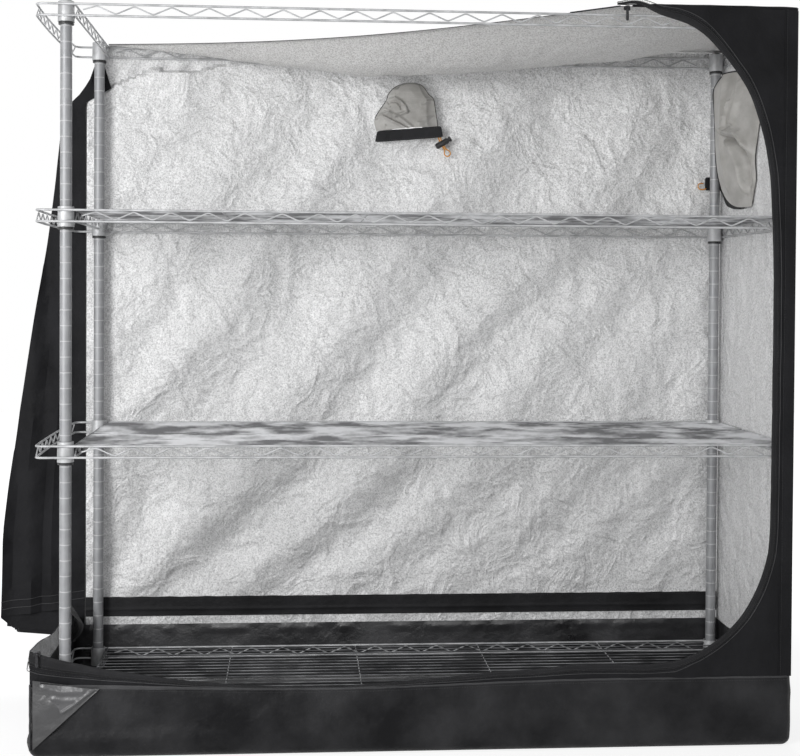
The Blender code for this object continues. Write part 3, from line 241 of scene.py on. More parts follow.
# Creases, here and below: a line of points, the crease's width and its height
FLAP_CREASES = (
    (((-0.6200, 0.1190), (-0.5950, 0.1120), (-0.5600, 0.1130)), 0.0060, 0.0030),
    (((-0.6060, 0.1010), (-0.5900, 0.0990), (-0.5700, 0.0990)), 0.0050, 0.0024),
    (((-0.5480, 0.1120), (-0.5732, 0.0920), (-0.5920, 0.0800)), 0.0020, 0.0022),
)
GUSSET_CORNERS = ((-0.6400, FRONT_Y, 0.1300), (-0.5335, FRONT_Y, 0.1150), (-0.6390, FRONT_Y, 0.0190))
CURL_NEAR = ((-0.6310, 0.110, 0.1780), (-0.6155, 0.125, 0.1460), (-0.6120, 0.130, 0.1330),
             (-0.6190, 0.135, 0.1160), (-0.6330, 0.140, 0.1020))
CURL_FAR = ((-0.6420, 0.150, 0.1500), (-0.6380, 0.185, 0.1420), (-0.6360, 0.190, 0.1300),
            (-0.6380, 0.190, 0.1150), (-0.6420, 0.185, 0.1000))
SEAM_SAG = 0.009
PAN_CORNER_RADIUS = 0.012
PAN_FOOT_RADIUS = 0.014
PAN_FOOT_SHARE = 0.25
PAN_FLOOR_CORE = (-0.42, 0.40)
PAN_STEPS = 420
PAN_ROLL_HEIGHT = 0.030
PAN_ROLL_WIDTH = 0.014
LEFT_STRIP_FRONT = 0.176
LEFT_STRIP_REAR = 0.138
ROOF_LEFT_HEIGHT = 1.2215
ROOF_EDGE_SAG = 0.018
ROOF_LEFT_INSET = 0.042
ROOF_OPEN_INSET = 0.300
ROOF_END_WIDTH = 0.012
ROOF_LIP = 0.010
ROOF_SAG = 0.062
ROOF_SAG_ROUNDNESS = 1.2
ROOF_STEPS = 170
ROOF_TAPE_STEPS = (116, 128)
REAR_WALL_TOP_INSET = 0.060
REAR_WALL_INSET = 0.026
REAR_WALL_TAPER_HEIGHT = 0.115
FOLD_DEPTH = 0.017
CREASE_DEPTH = 0.0014
SMALL_FOLD_DEPTH = 0.0018
OUTER_FOLD_PITCH = 0.19
POCKET_LINE = ((-0.62, 1.1220), (-0.5883, 1.1364), (-0.5400, 1.1600), (-0.4927, 1.1809), (-0.4731, 1.1760),
               (-0.4107, 1.1758), (-0.3681, 1.1890), (-0.3188, 1.1940), (-0.20, 1.2000))
POCKET_RIGHT = -0.27
PLEAT_DEPTH = 0.0075
PLEAT_BASE = 0.0990
PLEAT_SOFTNESS = 0.008
POCKET_DEPTH = 0.026
PACKED_CREASE_HEIGHT = 0.339
PACKED_CREASE_X = -0.137
PACKED_CREASE_WIDTH = 0.004
SIDE_FOLD_DEPTH = 0.0012
REAR_PORT = (-0.011, 1.107)
REAR_PORT_RADIUS = 0.045
SIDE_PORT = (0.075, 1.070)
SIDE_PORT_RADIUS = 0.065

# Zip edge of the front: shares of the cover's inside width and of its height, left to right, then up
opening_edge_shares = (
    (0.000, 0.143), (0.037, 0.132), (0.126, 0.114), (0.215, 0.101), (0.300, 0.094), (0.383, 0.091),
    (0.500, 0.099), (0.607, 0.108), (0.700, 0.115), (0.765, 0.116), (0.824, 0.117), (0.860, 0.125),
    (0.892, 0.142), (0.922, 0.168), (0.943, 0.197), (0.959, 0.235), (0.968, 0.279), (0.970, 0.360),
    (0.970, 0.608), (0.9665, 0.743), (0.9610, 0.798), (0.9486, 0.851), (0.929, 0.898), (0.893, 0.945),
    (0.854, 0.977), (0.805, 0.991), (0.757, 1.000),
)

# Dark sides of the rear wall's three broad folds: height and x, from the pan up to the roof
rear_fold_lines = (
    ((0.118, -0.700), (0.318, -0.593), (0.413, -0.546), (0.528, -0.490), (0.605, -0.414), (0.702, -0.319),
     (0.827, -0.252), (0.954, -0.157), (1.051, -0.085), (1.168, -0.013), (1.240, 0.020)),
    ((0.118, -0.560), (0.177, -0.498), (0.297, -0.365), (0.412, -0.241), (0.528, -0.174), (0.684, -0.068),
     (0.781, 0.009), (0.918, 0.125), (1.016, 0.203), (1.182, 0.251), (1.240, 0.270)),
    ((0.118, -0.360), (0.175, -0.288), (0.286, -0.143), (0.421, 0.011), (0.568, 0.069), (0.675, 0.147),
     (0.773, 0.264), (0.891, 0.402), (1.020, 0.490), (1.188, 0.568), (1.240, 0.590)),
)
# Height of the folds along their phase, which is 1, 2 and 3 on the lines above
rear_fold_heights = ((-3.0, 0.2), (0.0, 0.35), (1.0, 1.0), (2.0, 1.1), (3.0, 1.0), (3.6, 0.45), (6.0, 0.25))
roof_sag_shares = ((0.0, 0.0), (0.12, 0.25), (0.24, 0.55), (0.40, 0.97), (0.56, 1.0), (0.80, 0.80),
                   (1.0, 0.0))

# Door, gathered in pleats
DOOR_PLEATS = 16
DOOR_FIRST = 0.0015
DOOR_PLEAT_SPACING = 0.0030
DOOR_WIDTH = 0.156
DOOR_TOP = COVER_TOP - 0.042
DOOR_BOTTOM = 0.120
DOOR_INNER_SHARE = 0.80
DOOR_WAVE = 0.0016
DOOR_CLOTH = 0.0007
DOOR_DRAPE = 0.052
DOOR_DRAPE_DEPTH = 0.011
DOOR_BACK_DROP = 0.012
DOOR_NEAR_LIFT = 0.012
DOOR_HEM_SLOPE = 0.020
DOOR_BACK_SLOPE = 0.014
DOOR_PARTS = (0.06, 0.16, 0.28, 0.40, 0.52, 0.64, 0.76, 0.88, 0.96)
DOOR_HEM_LINES = (0.966, 0.992)
DOOR_ROOT = (((-0.6250, 0.2022, 1.1100), (-0.5726, 0.2022, 1.1408)),
             ((-0.6000, 0.2022, 1.1740), (-0.5859, 0.2022, 1.1842)))
# Width of the gathered door, from its top to its hem
door_width_shares = (
    (0.000, 0.02), (0.030, 0.03), (0.050, 0.08), (0.074, 0.20), (0.110, 0.28), (0.140, 0.31), (0.212, 0.36),
    (0.327, 0.47), (0.483, 0.64), (0.619, 0.79), (0.754, 0.91), (0.853, 0.98), (0.945, 0.99), (1.000, 1.00),
)

# Vent sleeves, cord lock
BAND_RISE = 0.0113
REAR_SLEEVE_BULGE = 0.014
REAR_SLEEVE_LEFT = ((-0.0685, 1.0672), (-0.0715, 1.0905), (-0.0496, 1.1263), (-0.0458, 1.1379),
                    (-0.0334, 1.1515), (-0.0141, 1.1595), (-0.0030, 1.1606))
REAR_SLEEVE_RIGHT = ((0.0502, 1.0778), (0.0482, 1.0933), (0.0451, 1.1125), (0.0421, 1.1298),
                     (0.0324, 1.1392), (0.0187, 1.1563), (-0.0010, 1.1609))
REAR_SLEEVE_CREASES = (
    (((-0.0459, 1.1280), (-0.0334, 1.1302), (-0.0218, 1.1227), (-0.0140, 1.1132), (-0.0110, 1.1037)),
     0.0026, 0.0060),
    (((-0.0400, 1.1230), (-0.0300, 1.1225), (-0.0225, 1.1150), (-0.0215, 1.1090)), 0.0016, -0.0040),
    (((-0.0110, 1.1037), (-0.0331, 1.0947), (-0.0544, 1.1088)), 0.0026, 0.0045),
    (((-0.0560, 1.0985), (-0.0466, 1.0936), (-0.0273, 1.0833), (-0.0021, 1.0693)), 0.0012, -0.0060),
    (((-0.0560, 1.0945), (-0.0466, 1.0896), (-0.0273, 1.0793), (-0.0060, 1.0693)), 0.0026, 0.0040),
    (((-0.0697, 1.0894), (-0.0563, 1.1001), (-0.0447, 1.1012), (-0.0254, 1.0920), (0.0000, 1.0722)),
     0.0034, 0.0050),
    (((-0.0534, 1.1078), (-0.0428, 1.1022), (-0.0351, 1.0956)), 0.0012, -0.0045),
    (((-0.0470, 1.1290), (-0.0470, 1.1240), (-0.0440, 1.1200)), 0.0014, -0.0070),
    (((0.0400, 1.1290), (0.0280, 1.1240), (0.0180, 1.1180)), 0.0022, 0.0028),
    (((0.0455, 1.1010), (0.0300, 1.0930), (0.0150, 1.0840)), 0.0050, 0.0026),
)
SIDE_SLEEVE_BULGE = 0.014
SIDE_SLEEVE_ROWS = 90
SIDE_SLEEVE_FRONT = ((0.6068, 0.0100, 0.9180), (0.6068, -0.0050, 0.9500), (0.6068, -0.0120, 0.9700),
                     (0.6068, -0.0050, 1.0054), (0.6068, -0.0220, 1.0510), (0.6068, -0.0342, 1.0927),
                     (0.6068, -0.0009, 1.1315), (0.6068, 0.0499, 1.1685))
SIDE_SLEEVE_REAR = ((0.5945, 0.150, 0.9617), (0.5875, 0.150, 0.9885), (0.5830, 0.150, 1.0250),
                    (0.5817, 0.150, 1.0575), (0.5799, 0.150, 1.0978), (0.5775, 0.150, 1.1380),
                    (0.5790, 0.150, 1.1520))
SIDE_CASING_LINE = ((0.6062, 0.046, 0.9275), (0.6062, 0.0959, 0.9290), (0.6055, 0.129, 0.9340),
                    (0.6045, 0.155, 0.9440), (0.6045, 0.178, 0.9650), (0.6035, 0.1965, 0.9735),
                    (0.5940, 0.1990, 0.9735), (0.5840, 0.1990, 0.9732), (0.5772, 0.1990, 0.9730))
SIDE_SLEEVE_CREASES = (
    (((0.084, 1.064), (0.046, 1.028), (0.024, 0.990), (0.012, 0.945)), 0.0050, 0.015),
    (((0.066, 1.060), (0.024, 1.052), (-0.004, 1.010), (-0.010, 0.960)), 0.0050, 0.014),
    (((0.074, 1.052), (0.034, 1.036), (0.010, 0.998), (0.002, 0.958)), 0.0034, -0.020),
    (((0.066, 1.115), (0.0766, 1.090), (0.0789, 1.066)), 0.0030, 0.008),
    (((0.040, 1.150), (0.034, 1.110), (0.046, 1.076)), 0.0070, 0.010),
    (((0.056, 1.130), (0.052, 1.100), (0.062, 1.072)), 0.0030, -0.010),
    (((0.100, 1.170), (0.094, 1.110), (0.100, 1.040), (0.085, 0.960)), 0.0100, 0.005),
)
LOCK_CENTRE = (0.0579, 0.1945, 1.0441)
LOCK_TILT_DEGREES = 30
LOCK_DIAMETER = 0.0115
LOCK_LENGTH = 0.026
LOCK_BORE_DIAMETER = 0.0082
LOCK_BORE_DEPTH = 0.008
LOCK_SLOT_LENGTH = 0.0074
LOCK_SLOT_WIDTH = 0.0036
PLUNGER_HEAD_DIAMETER = 0.0098
PLUNGER_HEAD_LENGTH = 0.0042
PLUNGER_TRAVEL = 0.0028


# Material building

def new_material(name, colour, roughness, metallic=0.0):
    material = bpy.data.materials.new(name)
    material.use_nodes = True
    shader = material.node_tree.nodes["Principled BSDF"]
    shader.inputs["Base Color"].default_value = (*colour, 1.0)
    shader.inputs["Roughness"].default_value = roughness
    shader.inputs["Metallic"].default_value = metallic
    return material


def node(material, kind, **values):
    """A shader node with its inputs set by name; an underscore stands for a space."""
    item = material.node_tree.nodes.new(kind)
    for label, value in values.items():
        item.inputs[label.replace("_", " ")].default_value = value
    return item


def wire_up(material, source, output, target, socket):
    material.node_tree.links.new(source.outputs[output], target.inputs[socket])


def shader_of(material):
    return material.node_tree.nodes["Principled BSDF"]


def noise_on(material, scale, detail, coordinate="Object", roughness=0.55):
    place = node(material, "ShaderNodeTexCoord")
    texture = node(material, "ShaderNodeTexNoise", Scale=scale, Detail=detail, Roughness=roughness)
    wire_up(material, place, coordinate, texture, "Vector")
    return texture


def set_shader(material, **values):
    """Inputs of the material's shader, set by name; an underscore stands for a space."""
    for label, value in values.items():
        shader_of(material).inputs[label.replace("_", " ")].default_value = value


def colour_range(material, source, dark, light, start=0.35, end=0.65, output=0):
    """The material's colour runs from dark to light with a texture."""
    ramp = node(material, "ShaderNodeValToRGB")
    ramp.color_ramp.elements[0].position = start
    ramp.color_ramp.elements[0].color = (*dark, 1)
    ramp.color_ramp.elements[1].position = end
    ramp.color_ramp.elements[1].color = (*light, 1)
    wire_up(material, source, output, ramp, "Fac")
    wire_up(material, ramp, "Color", shader_of(material), "Base Color")


def value_range(material, source, low, high, output=0, start=0.3, end=0.7):
    span = node(material, "ShaderNodeMapRange", From_Min=start, From_Max=end, To_Min=low, To_Max=high)
    wire_up(material, source, output, span, "Value")
    return span


def roughness_range(material, source, low, high):
    """The material's roughness runs from low to high with a texture."""
    wire_up(material, value_range(material, source, low, high), "Result", shader_of(material), "Roughness")


def bump(material, source, output, strength, distance, below=None):
    item = node(material, "ShaderNodeBump", Strength=strength, Distance=distance)
    wire_up(material, source, output, item, "Height")
    if below is not None:
        wire_up(material, below, "Normal", item, "Normal")
    wire_up(material, item, "Normal", shader_of(material), "Normal")
    return item


def worked_out(material, operation, source, output, amount=None):
    """A math node fed by another node's output, with a fixed second amount where it takes one."""
    item = node(material, "ShaderNodeMath")
    item.operation = operation
    wire_up(material, source, output, item, 0)
    if amount is not None:
        item.inputs[1].default_value = amount
    return item


def axes_on(material, coordinate):
    """A texture coordinate, split into X, Y and Z."""
    place = node(material, "ShaderNodeTexCoord")
    split = node(material, "ShaderNodeSeparateXYZ")
    wire_up(material, place, coordinate, split, "Vector")
    return split


def weave_on(material, pitch):
    """A plain weave on the piece's UV map, which is in metres: 1 on top of a thread, 0 between threads."""
    split = axes_on(material, "UV")
    waves = []
    for axis in ("X", "Y"):
        turn = worked_out(material, "MULTIPLY", split, axis, math.pi / pitch)
        wave = worked_out(material, "SINE", turn, "Value")
        waves.append(worked_out(material, "ABSOLUTE", wave, "Value"))
    over = worked_out(material, "MULTIPLY", waves[0], "Value")
    wire_up(material, waves[1], "Value", over, 1)
    return over


# Materials

# Noise scales of the steel's patches: fine ones, and the wide ones that reflections leave on the decks
FINE_PATCHES = 35
WIDE_PATCHES = 13
# Colour of the painted highlight along the posts' grooves, standing in for light caught on each groove's lip
GROOVE_HIGHLIGHT_COLOUR = (0.62, 0.62, 0.63, 1)
# Sockets of a colour mix, which share their names with those of its other kinds
MIX_FIRST = 6
MIX_SECOND = 7
MIX_RESULT = 2


def coated_steel_material(name, dark, light, patches=FINE_PATCHES):
    """Grey coated steel with a faint orange peel, in cloudy patches from dark to light."""
    material = new_material(name, light, 0.50, 0.30)
    cloud = noise_on(material, patches, 4)
    colour_range(material, cloud, dark, light, 0.40, 0.60)
    roughness_range(material, cloud, 0.42, 0.58)
    bump(material, noise_on(material, 900, 2), 0, 0.10, 0.0004)
    return material


def grooved_tube_material():
    """The posts' coating, with a painted highlight in a lighter grey along the grooves rolled round them
    every inch.
    """
    material = coated_steel_material("powder_coated_tube", (0.29, 0.295, 0.305), (0.35, 0.355, 0.365))
    shader_colour = shader_of(material).inputs["Base Color"]
    split = axes_on(material, "Object")
    # Painted highlight: a mask that is 1 at each groove and fades to 0 over a groove's width mixes in the
    # light grey
    lifted = worked_out(material, "SUBTRACT", split, "Z", GROOVE_BASE - GROOVE_WIDTH / 2)
    turn = worked_out(material, "PINGPONG", lifted, "Value", GROOVE_SPACING / 2)
    lip = node(material, "ShaderNodeMapRange", From_Min=0.0, From_Max=GROOVE_WIDTH, To_Min=1.0, To_Max=0.0)
    wire_up(material, turn, "Value", lip, "Value")
    mix = node(material, "ShaderNodeMix")
    mix.data_type = "RGBA"
    wire_up(material, lip, "Result", mix, "Factor")
    material.node_tree.links.new(shader_colour.links[0].from_socket, mix.inputs[MIX_FIRST])
    mix.inputs[MIX_SECOND].default_value = GROOVE_HIGHLIGHT_COLOUR
    wire_up(material, mix, MIX_RESULT, shader_of(material), "Base Color")
    return material


def moulded_plastic_material():
    """Matt black plastic with a fine moulded grain."""
    material = new_material("moulded_black_plastic", (0.022, 0.022, 0.023), 0.45)
    cloud = noise_on(material, 60, 2)
    colour_range(material, cloud, (0.018, 0.018, 0.019), (0.030, 0.030, 0.031))
    roughness_range(material, cloud, 0.40, 0.54)
    bump(material, noise_on(material, 1600, 3), 0, 0.12, 0.0003)
    return material


def blackened_metal_material():
    """Black zip metal, scratched through to a brighter grey."""
    material = new_material("blackened_zip_metal", (0.04, 0.04, 0.042), 0.32, 0.9)
    scratches = noise_on(material, 420, 5, roughness=0.7)
    colour_range(material, scratches, (0.028, 0.028, 0.03), (0.10, 0.10, 0.105), 0.45, 0.80)
    roughness_range(material, scratches, 0.26, 0.46)
    bump(material, scratches, 0, 0.08, 0.0002)
    return material


def oxford_material(name, dark, light, roughness, sheen):
    """Black woven cloth: a plain weave, slight cloudy fading and soft crumples."""
    material = new_material(name, light, roughness)
    set_shader(material, Sheen_Weight=sheen, Sheen_Roughness=0.5, Specular_IOR_Level=0.13)
    cloud = noise_on(material, 9, 6)
    colour_range(material, cloud, dark, light)
    roughness_range(material, cloud, roughness - 0.08, roughness + 0.08)
    soft = bump(material, noise_on(material, 13, 6), 0, 0.6, 0.016)
    bump(material, weave_on(material, 0.0011), "Value", 0.25, 0.0003, soft)
    return material


def coated_pan_material(name, dark, light, shine):
    """Black coated cloth with a wet shine and small creases."""
    material = new_material(name, light, 0.30)
    set_shader(material, Specular_IOR_Level=shine)
    cloud = noise_on(material, 9, 6)
    colour_range(material, cloud, dark, light)
    roughness_range(material, cloud, 0.26, 0.44)
    soft = bump(material, noise_on(material, 16, 7, roughness=0.6), 0, 0.55, 0.010)
    bump(material, noise_on(material, 700, 2), 0, 0.10, 0.0003, soft)
    return material


def ridges_on(material, scale, detail):
    """Sharp branching creases in object space."""
    creases = noise_on(material, scale, detail, roughness=0.6)
    creases.noise_type = "RIDGED_MULTIFRACTAL"
    creases.inputs["Offset"].default_value = 0.9
    creases.inputs["Gain"].default_value = 2.0
    creases.inputs["Distortion"].default_value = 0.6
    return creases


def foil_material(name, dark, light, crispness):
    """The cover's silver inner face: a crinkled film covered in fine light and dark grains."""
    material = new_material(name, light, 0.55, 0.15)
    grain = noise_on(material, 360, 3, roughness=0.7)
    colour_range(material, grain, dark, light, 0.38, 0.58)
    roughness_range(material, noise_on(material, 9, 5), 0.46, 0.62)
    soft = bump(material, noise_on(material, 20, 6), 0, 0.6 * crispness, 0.016)
    crisp = bump(material, ridges_on(material, 13, 4), 0, 0.65 * crispness, 0.0036, soft)
    bump(material, grain, 0, 0.8, 0.0009, crisp)
    return material


def grey_lining_material():
    """Light grey nylon of the vent sleeves, with a slight shine on its folds."""
    material = new_material("grey_sleeve_nylon", (0.36, 0.35, 0.33), 0.46)
    set_shader(material, Sheen_Weight=0.2)
    cloud = noise_on(material, 30, 5)
    colour_range(material, cloud, (0.34, 0.33, 0.31), (0.46, 0.45, 0.43))
    roughness_range(material, cloud, 0.38, 0.55)
    soft = bump(material, noise_on(material, 45, 5), 0, 0.35, 0.004)
    bump(material, weave_on(material, 0.0007), "Value", 0.18, 0.0002, soft)
    return material


def braided_cord_material():
    """Orange braid; the cord's UV map has its length in X and its girth in Y, both in metres."""
    material = new_material("orange_braid", (0.80, 0.33, 0.02), 0.7)
    set_shader(material, Sheen_Weight=0.3)
    strands = weave_on(material, 0.0008)
    colour_range(material, strands, (0.42, 0.15, 0.01), (0.90, 0.42, 0.04), 0.05, 0.55, "Value")
    soft = bump(material, strands, "Value", 0.5, 0.0003)
    bump(material, noise_on(material, 1500, 3), 0, 0.2, 0.0002, soft)
    return material


TUBE_STEEL = grooved_tube_material()
WIRE_STEEL = coated_steel_material("powder_coated_wire", (0.42, 0.425, 0.432), (0.60, 0.605, 0.615))
# The decks' copies of the coated steel are darker and patchier than the rails': painted reflections in wide
# dark and light patches. The bottom deck's copy is darker still: painted shade.
DECK_STEEL = coated_steel_material("powder_coated_deck_wire", (0.18, 0.181, 0.187), (0.74, 0.745, 0.76),
                                   WIDE_PATCHES)
SHADED_DECK_STEEL = coated_steel_material("low_deck_steel_painted_shade", (0.05, 0.051, 0.054), (0.24, 0.243, 0.25),
                                       WIDE_PATCHES)
PLASTIC = moulded_plastic_material()
ZIP_METAL = blackened_metal_material()
OXFORD = oxford_material("black_oxford_cloth", (0.006, 0.006, 0.007), (0.018, 0.018, 0.020), 0.66, 0.04)
TAPE_CLOTH = oxford_material("black_zip_tape", (0.013, 0.013, 0.014), (0.026, 0.026, 0.028), 0.60, 0.08)
BINDING = oxford_material("grey_black_binding", (0.050, 0.050, 0.052), (0.085, 0.085, 0.088), 0.55, 0.10)
PAN_CLOTH = coated_pan_material("coated_pan_cloth", (0.010, 0.010, 0.011), (0.050, 0.050, 0.053), 0.85)
# A lighter copy of the pan's coated cloth, for the gusset's flap: painted highlight on its glossy patch
GUSSET_HIGHLIGHT_CLOTH = coated_pan_material("coated_gusset_cloth_painted_highlight", (0.02, 0.02, 0.022), (0.10, 0.10, 0.104), 0.80)
PAN_OUTSIDE = oxford_material("black_pan_outside", (0.005, 0.005, 0.006), (0.036, 0.036, 0.038), 0.48, 0.04)
FOIL = foil_material("silver_foil_film", (0.55, 0.55, 0.552), (0.90, 0.90, 0.902), 1.0)
ROOF_FOIL = foil_material("silver_roof_film", (0.54, 0.53, 0.52), (0.84, 0.835, 0.825), 0.3)
GREY_NYLON = grey_lining_material()
ORANGE_BRAID = braided_cord_material()


# Helpers for shapes

# In place of a material, for a mesh that keeps the materials it has
ITS_OWN = None


def link(item):
    bpy.context.scene.collection.objects.link(item)
    return item


def plain_mesh(item):
    """The item's finished mesh with its modifiers applied; the item itself goes."""
    bpy.context.view_layer.update()
    graph = bpy.context.evaluated_depsgraph_get()
    mesh = bpy.data.meshes.new_from_object(item.evaluated_get(graph))
    bpy.data.objects.remove(item, do_unlink=True)
    return mesh


def mesh_of(shape, name):
    mesh = bpy.data.meshes.new(name)
    shape.to_mesh(mesh)
    shape.free()
    return mesh


def welded(shape, name):
    """The shape as a mesh, with points that meet made one and its faces turned outwards."""
    bmesh.ops.remove_doubles(shape, verts=shape.verts, dist=WELD)
    bmesh.ops.recalc_face_normals(shape, faces=shape.faces)
    return mesh_of(shape, name)


def joined(meshes, weld=False):
    shape = bmesh.new()
    for mesh in meshes:
        shape.from_mesh(mesh)
    return welded(shape, "joined") if weld else mesh_of(shape, "joined")


def moved(mesh, place):
    copy = mesh.copy()
    copy.transform(Matrix.Translation(place))
    return copy


def body_name(node_name):
    return body_of(frame["nodes"][node_name])[0]


def finish_piece(name, mesh, material, body, sharp=40):
    """A smooth-shaded piece that moves with a body."""
    item = link(bpy.data.objects.new(name, mesh))
    if material is not ITS_OWN:
        mesh.materials.clear()
        mesh.materials.append(material)
    mesh.polygons.foreach_set("use_smooth", [True] * len(mesh.polygons))
    mesh.set_sharp_from_angle(angle=math.radians(sharp))
    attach(item, body)
    return item


def sewn_on(name, mesh, material):
    """A finished piece that moves with the cover."""
    return finish_piece(name, mesh, material, "tent")


def stand_in(name, mesh, material, nodes, sharp=40):
    """A finished piece that stands for some of the frame's nodes."""
    item = finish_piece(name, mesh, material, body_name(nodes[0]), sharp)
    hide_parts(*nodes)
    return item


def at_each_post(name, mesh, height, material, node_name, sharp=40):
    """A mesh repeated at the four posts, each copy standing for its own node."""
    for place, (x, y) in PLACES.items():
        copy = moved(mesh, (x, y, height))
        stand_in(f"{name}_{place}", copy, material, [f"{node_name}_{place}"], sharp)


def turned(profile, steps=ROUND_STEPS, slit=0.0, closed=True):
    """A profile of (radius, height) points turned about Z; a slit is an open angle at the front."""
    shape = bmesh.new()
    turns = steps + 1 if slit else steps
    rings = []
    for index in range(turns):
        angle = slit / 2 + (2 * math.pi - slit) * index / steps
        rings.append([shape.verts.new((radius * math.sin(angle), -radius * math.cos(angle), height))
                      for radius, height in profile])
    following = rings[1:] if slit else rings[1:] + rings[:1]
    last = len(profile) if closed else len(profile) - 1
    for ring, after in zip(rings, following):
        for index in range(last):
            other = (index + 1) % len(profile)
            shape.faces.new((ring[index], ring[other], after[other], after[index]))
    if slit:
        shape.faces.new(rings[0])
        shape.faces.new(list(reversed(rings[-1])))
    return welded(shape, "turned")


def poly_curve(lines, cyclic=False):
    """A curve object's data with one spline of straight legs for each line of points."""
    curve = bpy.data.curves.new("lines", "CURVE")
    curve.dimensions = "3D"
    for line in lines:
        spline = curve.splines.new("POLY")
        spline.points.add(len(line) - 1)
        spline.use_cyclic_u = cyclic
        for point, place in zip(spline.points, line):
            point.co = (*place, 1)
    return curve


def wire(lines, diameter, cyclic=False, roundness=3):
    """Round wires along lines of points, as one mesh."""
    curve = poly_curve(lines, cyclic)
    curve.bevel_depth = diameter / 2
    curve.bevel_resolution = roundness
    curve.use_fill_caps = True
    shape = bmesh.new()
    shape.from_mesh(plain_mesh(link(bpy.data.objects.new("wire", curve))))
    return welded(shape, "wire")


def rounded_corner(before, corner, after, reach, steps):
    """Points of a curve that cuts a corner off, from reach before it to reach after it."""
    start = corner + (before - corner).normalized() * reach
    end = corner + (after - corner).normalized() * reach
    shares = [index / steps for index in range(steps + 1)]
    return [(1 - t) ** 2 * start + 2 * t * (1 - t) * corner + t * t * end for t in shares]


def bent(points, radius, steps=4):
    """A line of points with each inner corner bent round."""
    points = [Vector(point) for point in points]
    line = [points[0]]
    for before, corner, after in zip(points, points[1:], points[2:]):
        reach = min(radius, (before - corner).length * 0.45, (after - corner).length * 0.45)
        line += rounded_corner(before, corner, after, reach, steps)
    line.append(points[-1])
    return line


def along(table, share):
    """The value at a share of a table of (share, value) pairs, straight between them."""
    for (low, first), (high, second) in zip(table, table[1:]):
        if share <= high:
            return first + (second - first) * (share - low) / (high - low)
    return table[-1][1]


def smooth_step(share):
    share = min(1.0, max(0.0, share))
    return share * share * (3 - 2 * share)


def smooth_line(points, parts):
    """A Catmull-Rom curve through points, with the given number of parts between two of them."""
    knots = [Vector(point) for point in points]
    knots = [2 * knots[0] - knots[1]] + knots + [2 * knots[-1] - knots[-2]]
    line = []
    for before, start, end, after in zip(knots, knots[1:], knots[2:], knots[3:]):
        for index in range(parts):
            t = index / parts
            line.append(0.5 * (2 * start + (end - before) * t
                               + (2 * before - 5 * start + 4 * end - after) * t * t
                               + (3 * start - before - 3 * end + after) * t ** 3))
    line.append(knots[-2])
    return line


def distances(line):
    """How far each point of a line is from its start, along the line."""
    lengths = [0.0]
    for first, second in zip(line, line[1:]):
        lengths.append(lengths[-1] + (second - first).length)
    return lengths


def heading(line, index):
    """The direction of a line at one of its points."""
    return (line[min(index + 1, len(line) - 1)] - line[max(index - 1, 0)]).normalized()


def spot_on(line, share):
    """The point of a line that is nearest to a share of its points."""
    return line[round(share * (len(line) - 1))]


def evenly(line, step):
    """Points a step apart along a line, with both ends kept."""
    lengths = distances(line)
    count = max(4, round(lengths[-1] / step))
    points = []
    spot = 0
    for index in range(count + 1):
        target = lengths[-1] * index / count
        while spot < len(line) - 2 and lengths[spot + 1] < target:
            spot += 1
        share = (target - lengths[spot]) / max(lengths[spot + 1] - lengths[spot], WELD)
        points.append(line[spot].lerp(line[spot + 1], min(1.0, share)))
    return points


def fine_line(points, parts, step):
    """A smooth curve through points, with its own points a step apart."""
    return evenly(smooth_line(points, parts), step)


def tube(line, diameter, sides=12):
    """A round cord along a line, with its length and girth in metres as its UV map, and closed ends."""
    shape = bmesh.new()
    uv = shape.loops.layers.uv.new("cord")
    rings = []
    lengths = distances(line)
    side = Vector((0, 1, 0))
    for index, point in enumerate(line):
        ahead = heading(line, index)
        side = (side - ahead * side.dot(ahead)).normalized()
        other = ahead.cross(side)
        rings.append([shape.verts.new(point + diameter / 2 * (side * math.cos(2 * math.pi * i / sides)
                                                              + other * math.sin(2 * math.pi * i / sides)))
                      for i in range(sides)])
    girth = math.pi * diameter
    for index, (ring, after) in enumerate(zip(rings, rings[1:])):
        for i in range(sides):
            j = (i + 1) % sides
            face = shape.faces.new((ring[i], ring[j], after[j], after[i]))
            spots = ((index, i), (index, i + 1), (index + 1, i + 1), (index + 1, i))
            for loop, (row, column) in zip(face.loops, spots):
                loop[uv].uv = (lengths[row], girth * column / sides)
    shape.faces.new(list(reversed(rings[0])))
    shape.faces.new(rings[-1])
    bmesh.ops.recalc_face_normals(shape, faces=shape.faces)
    return mesh_of(shape, "tube")


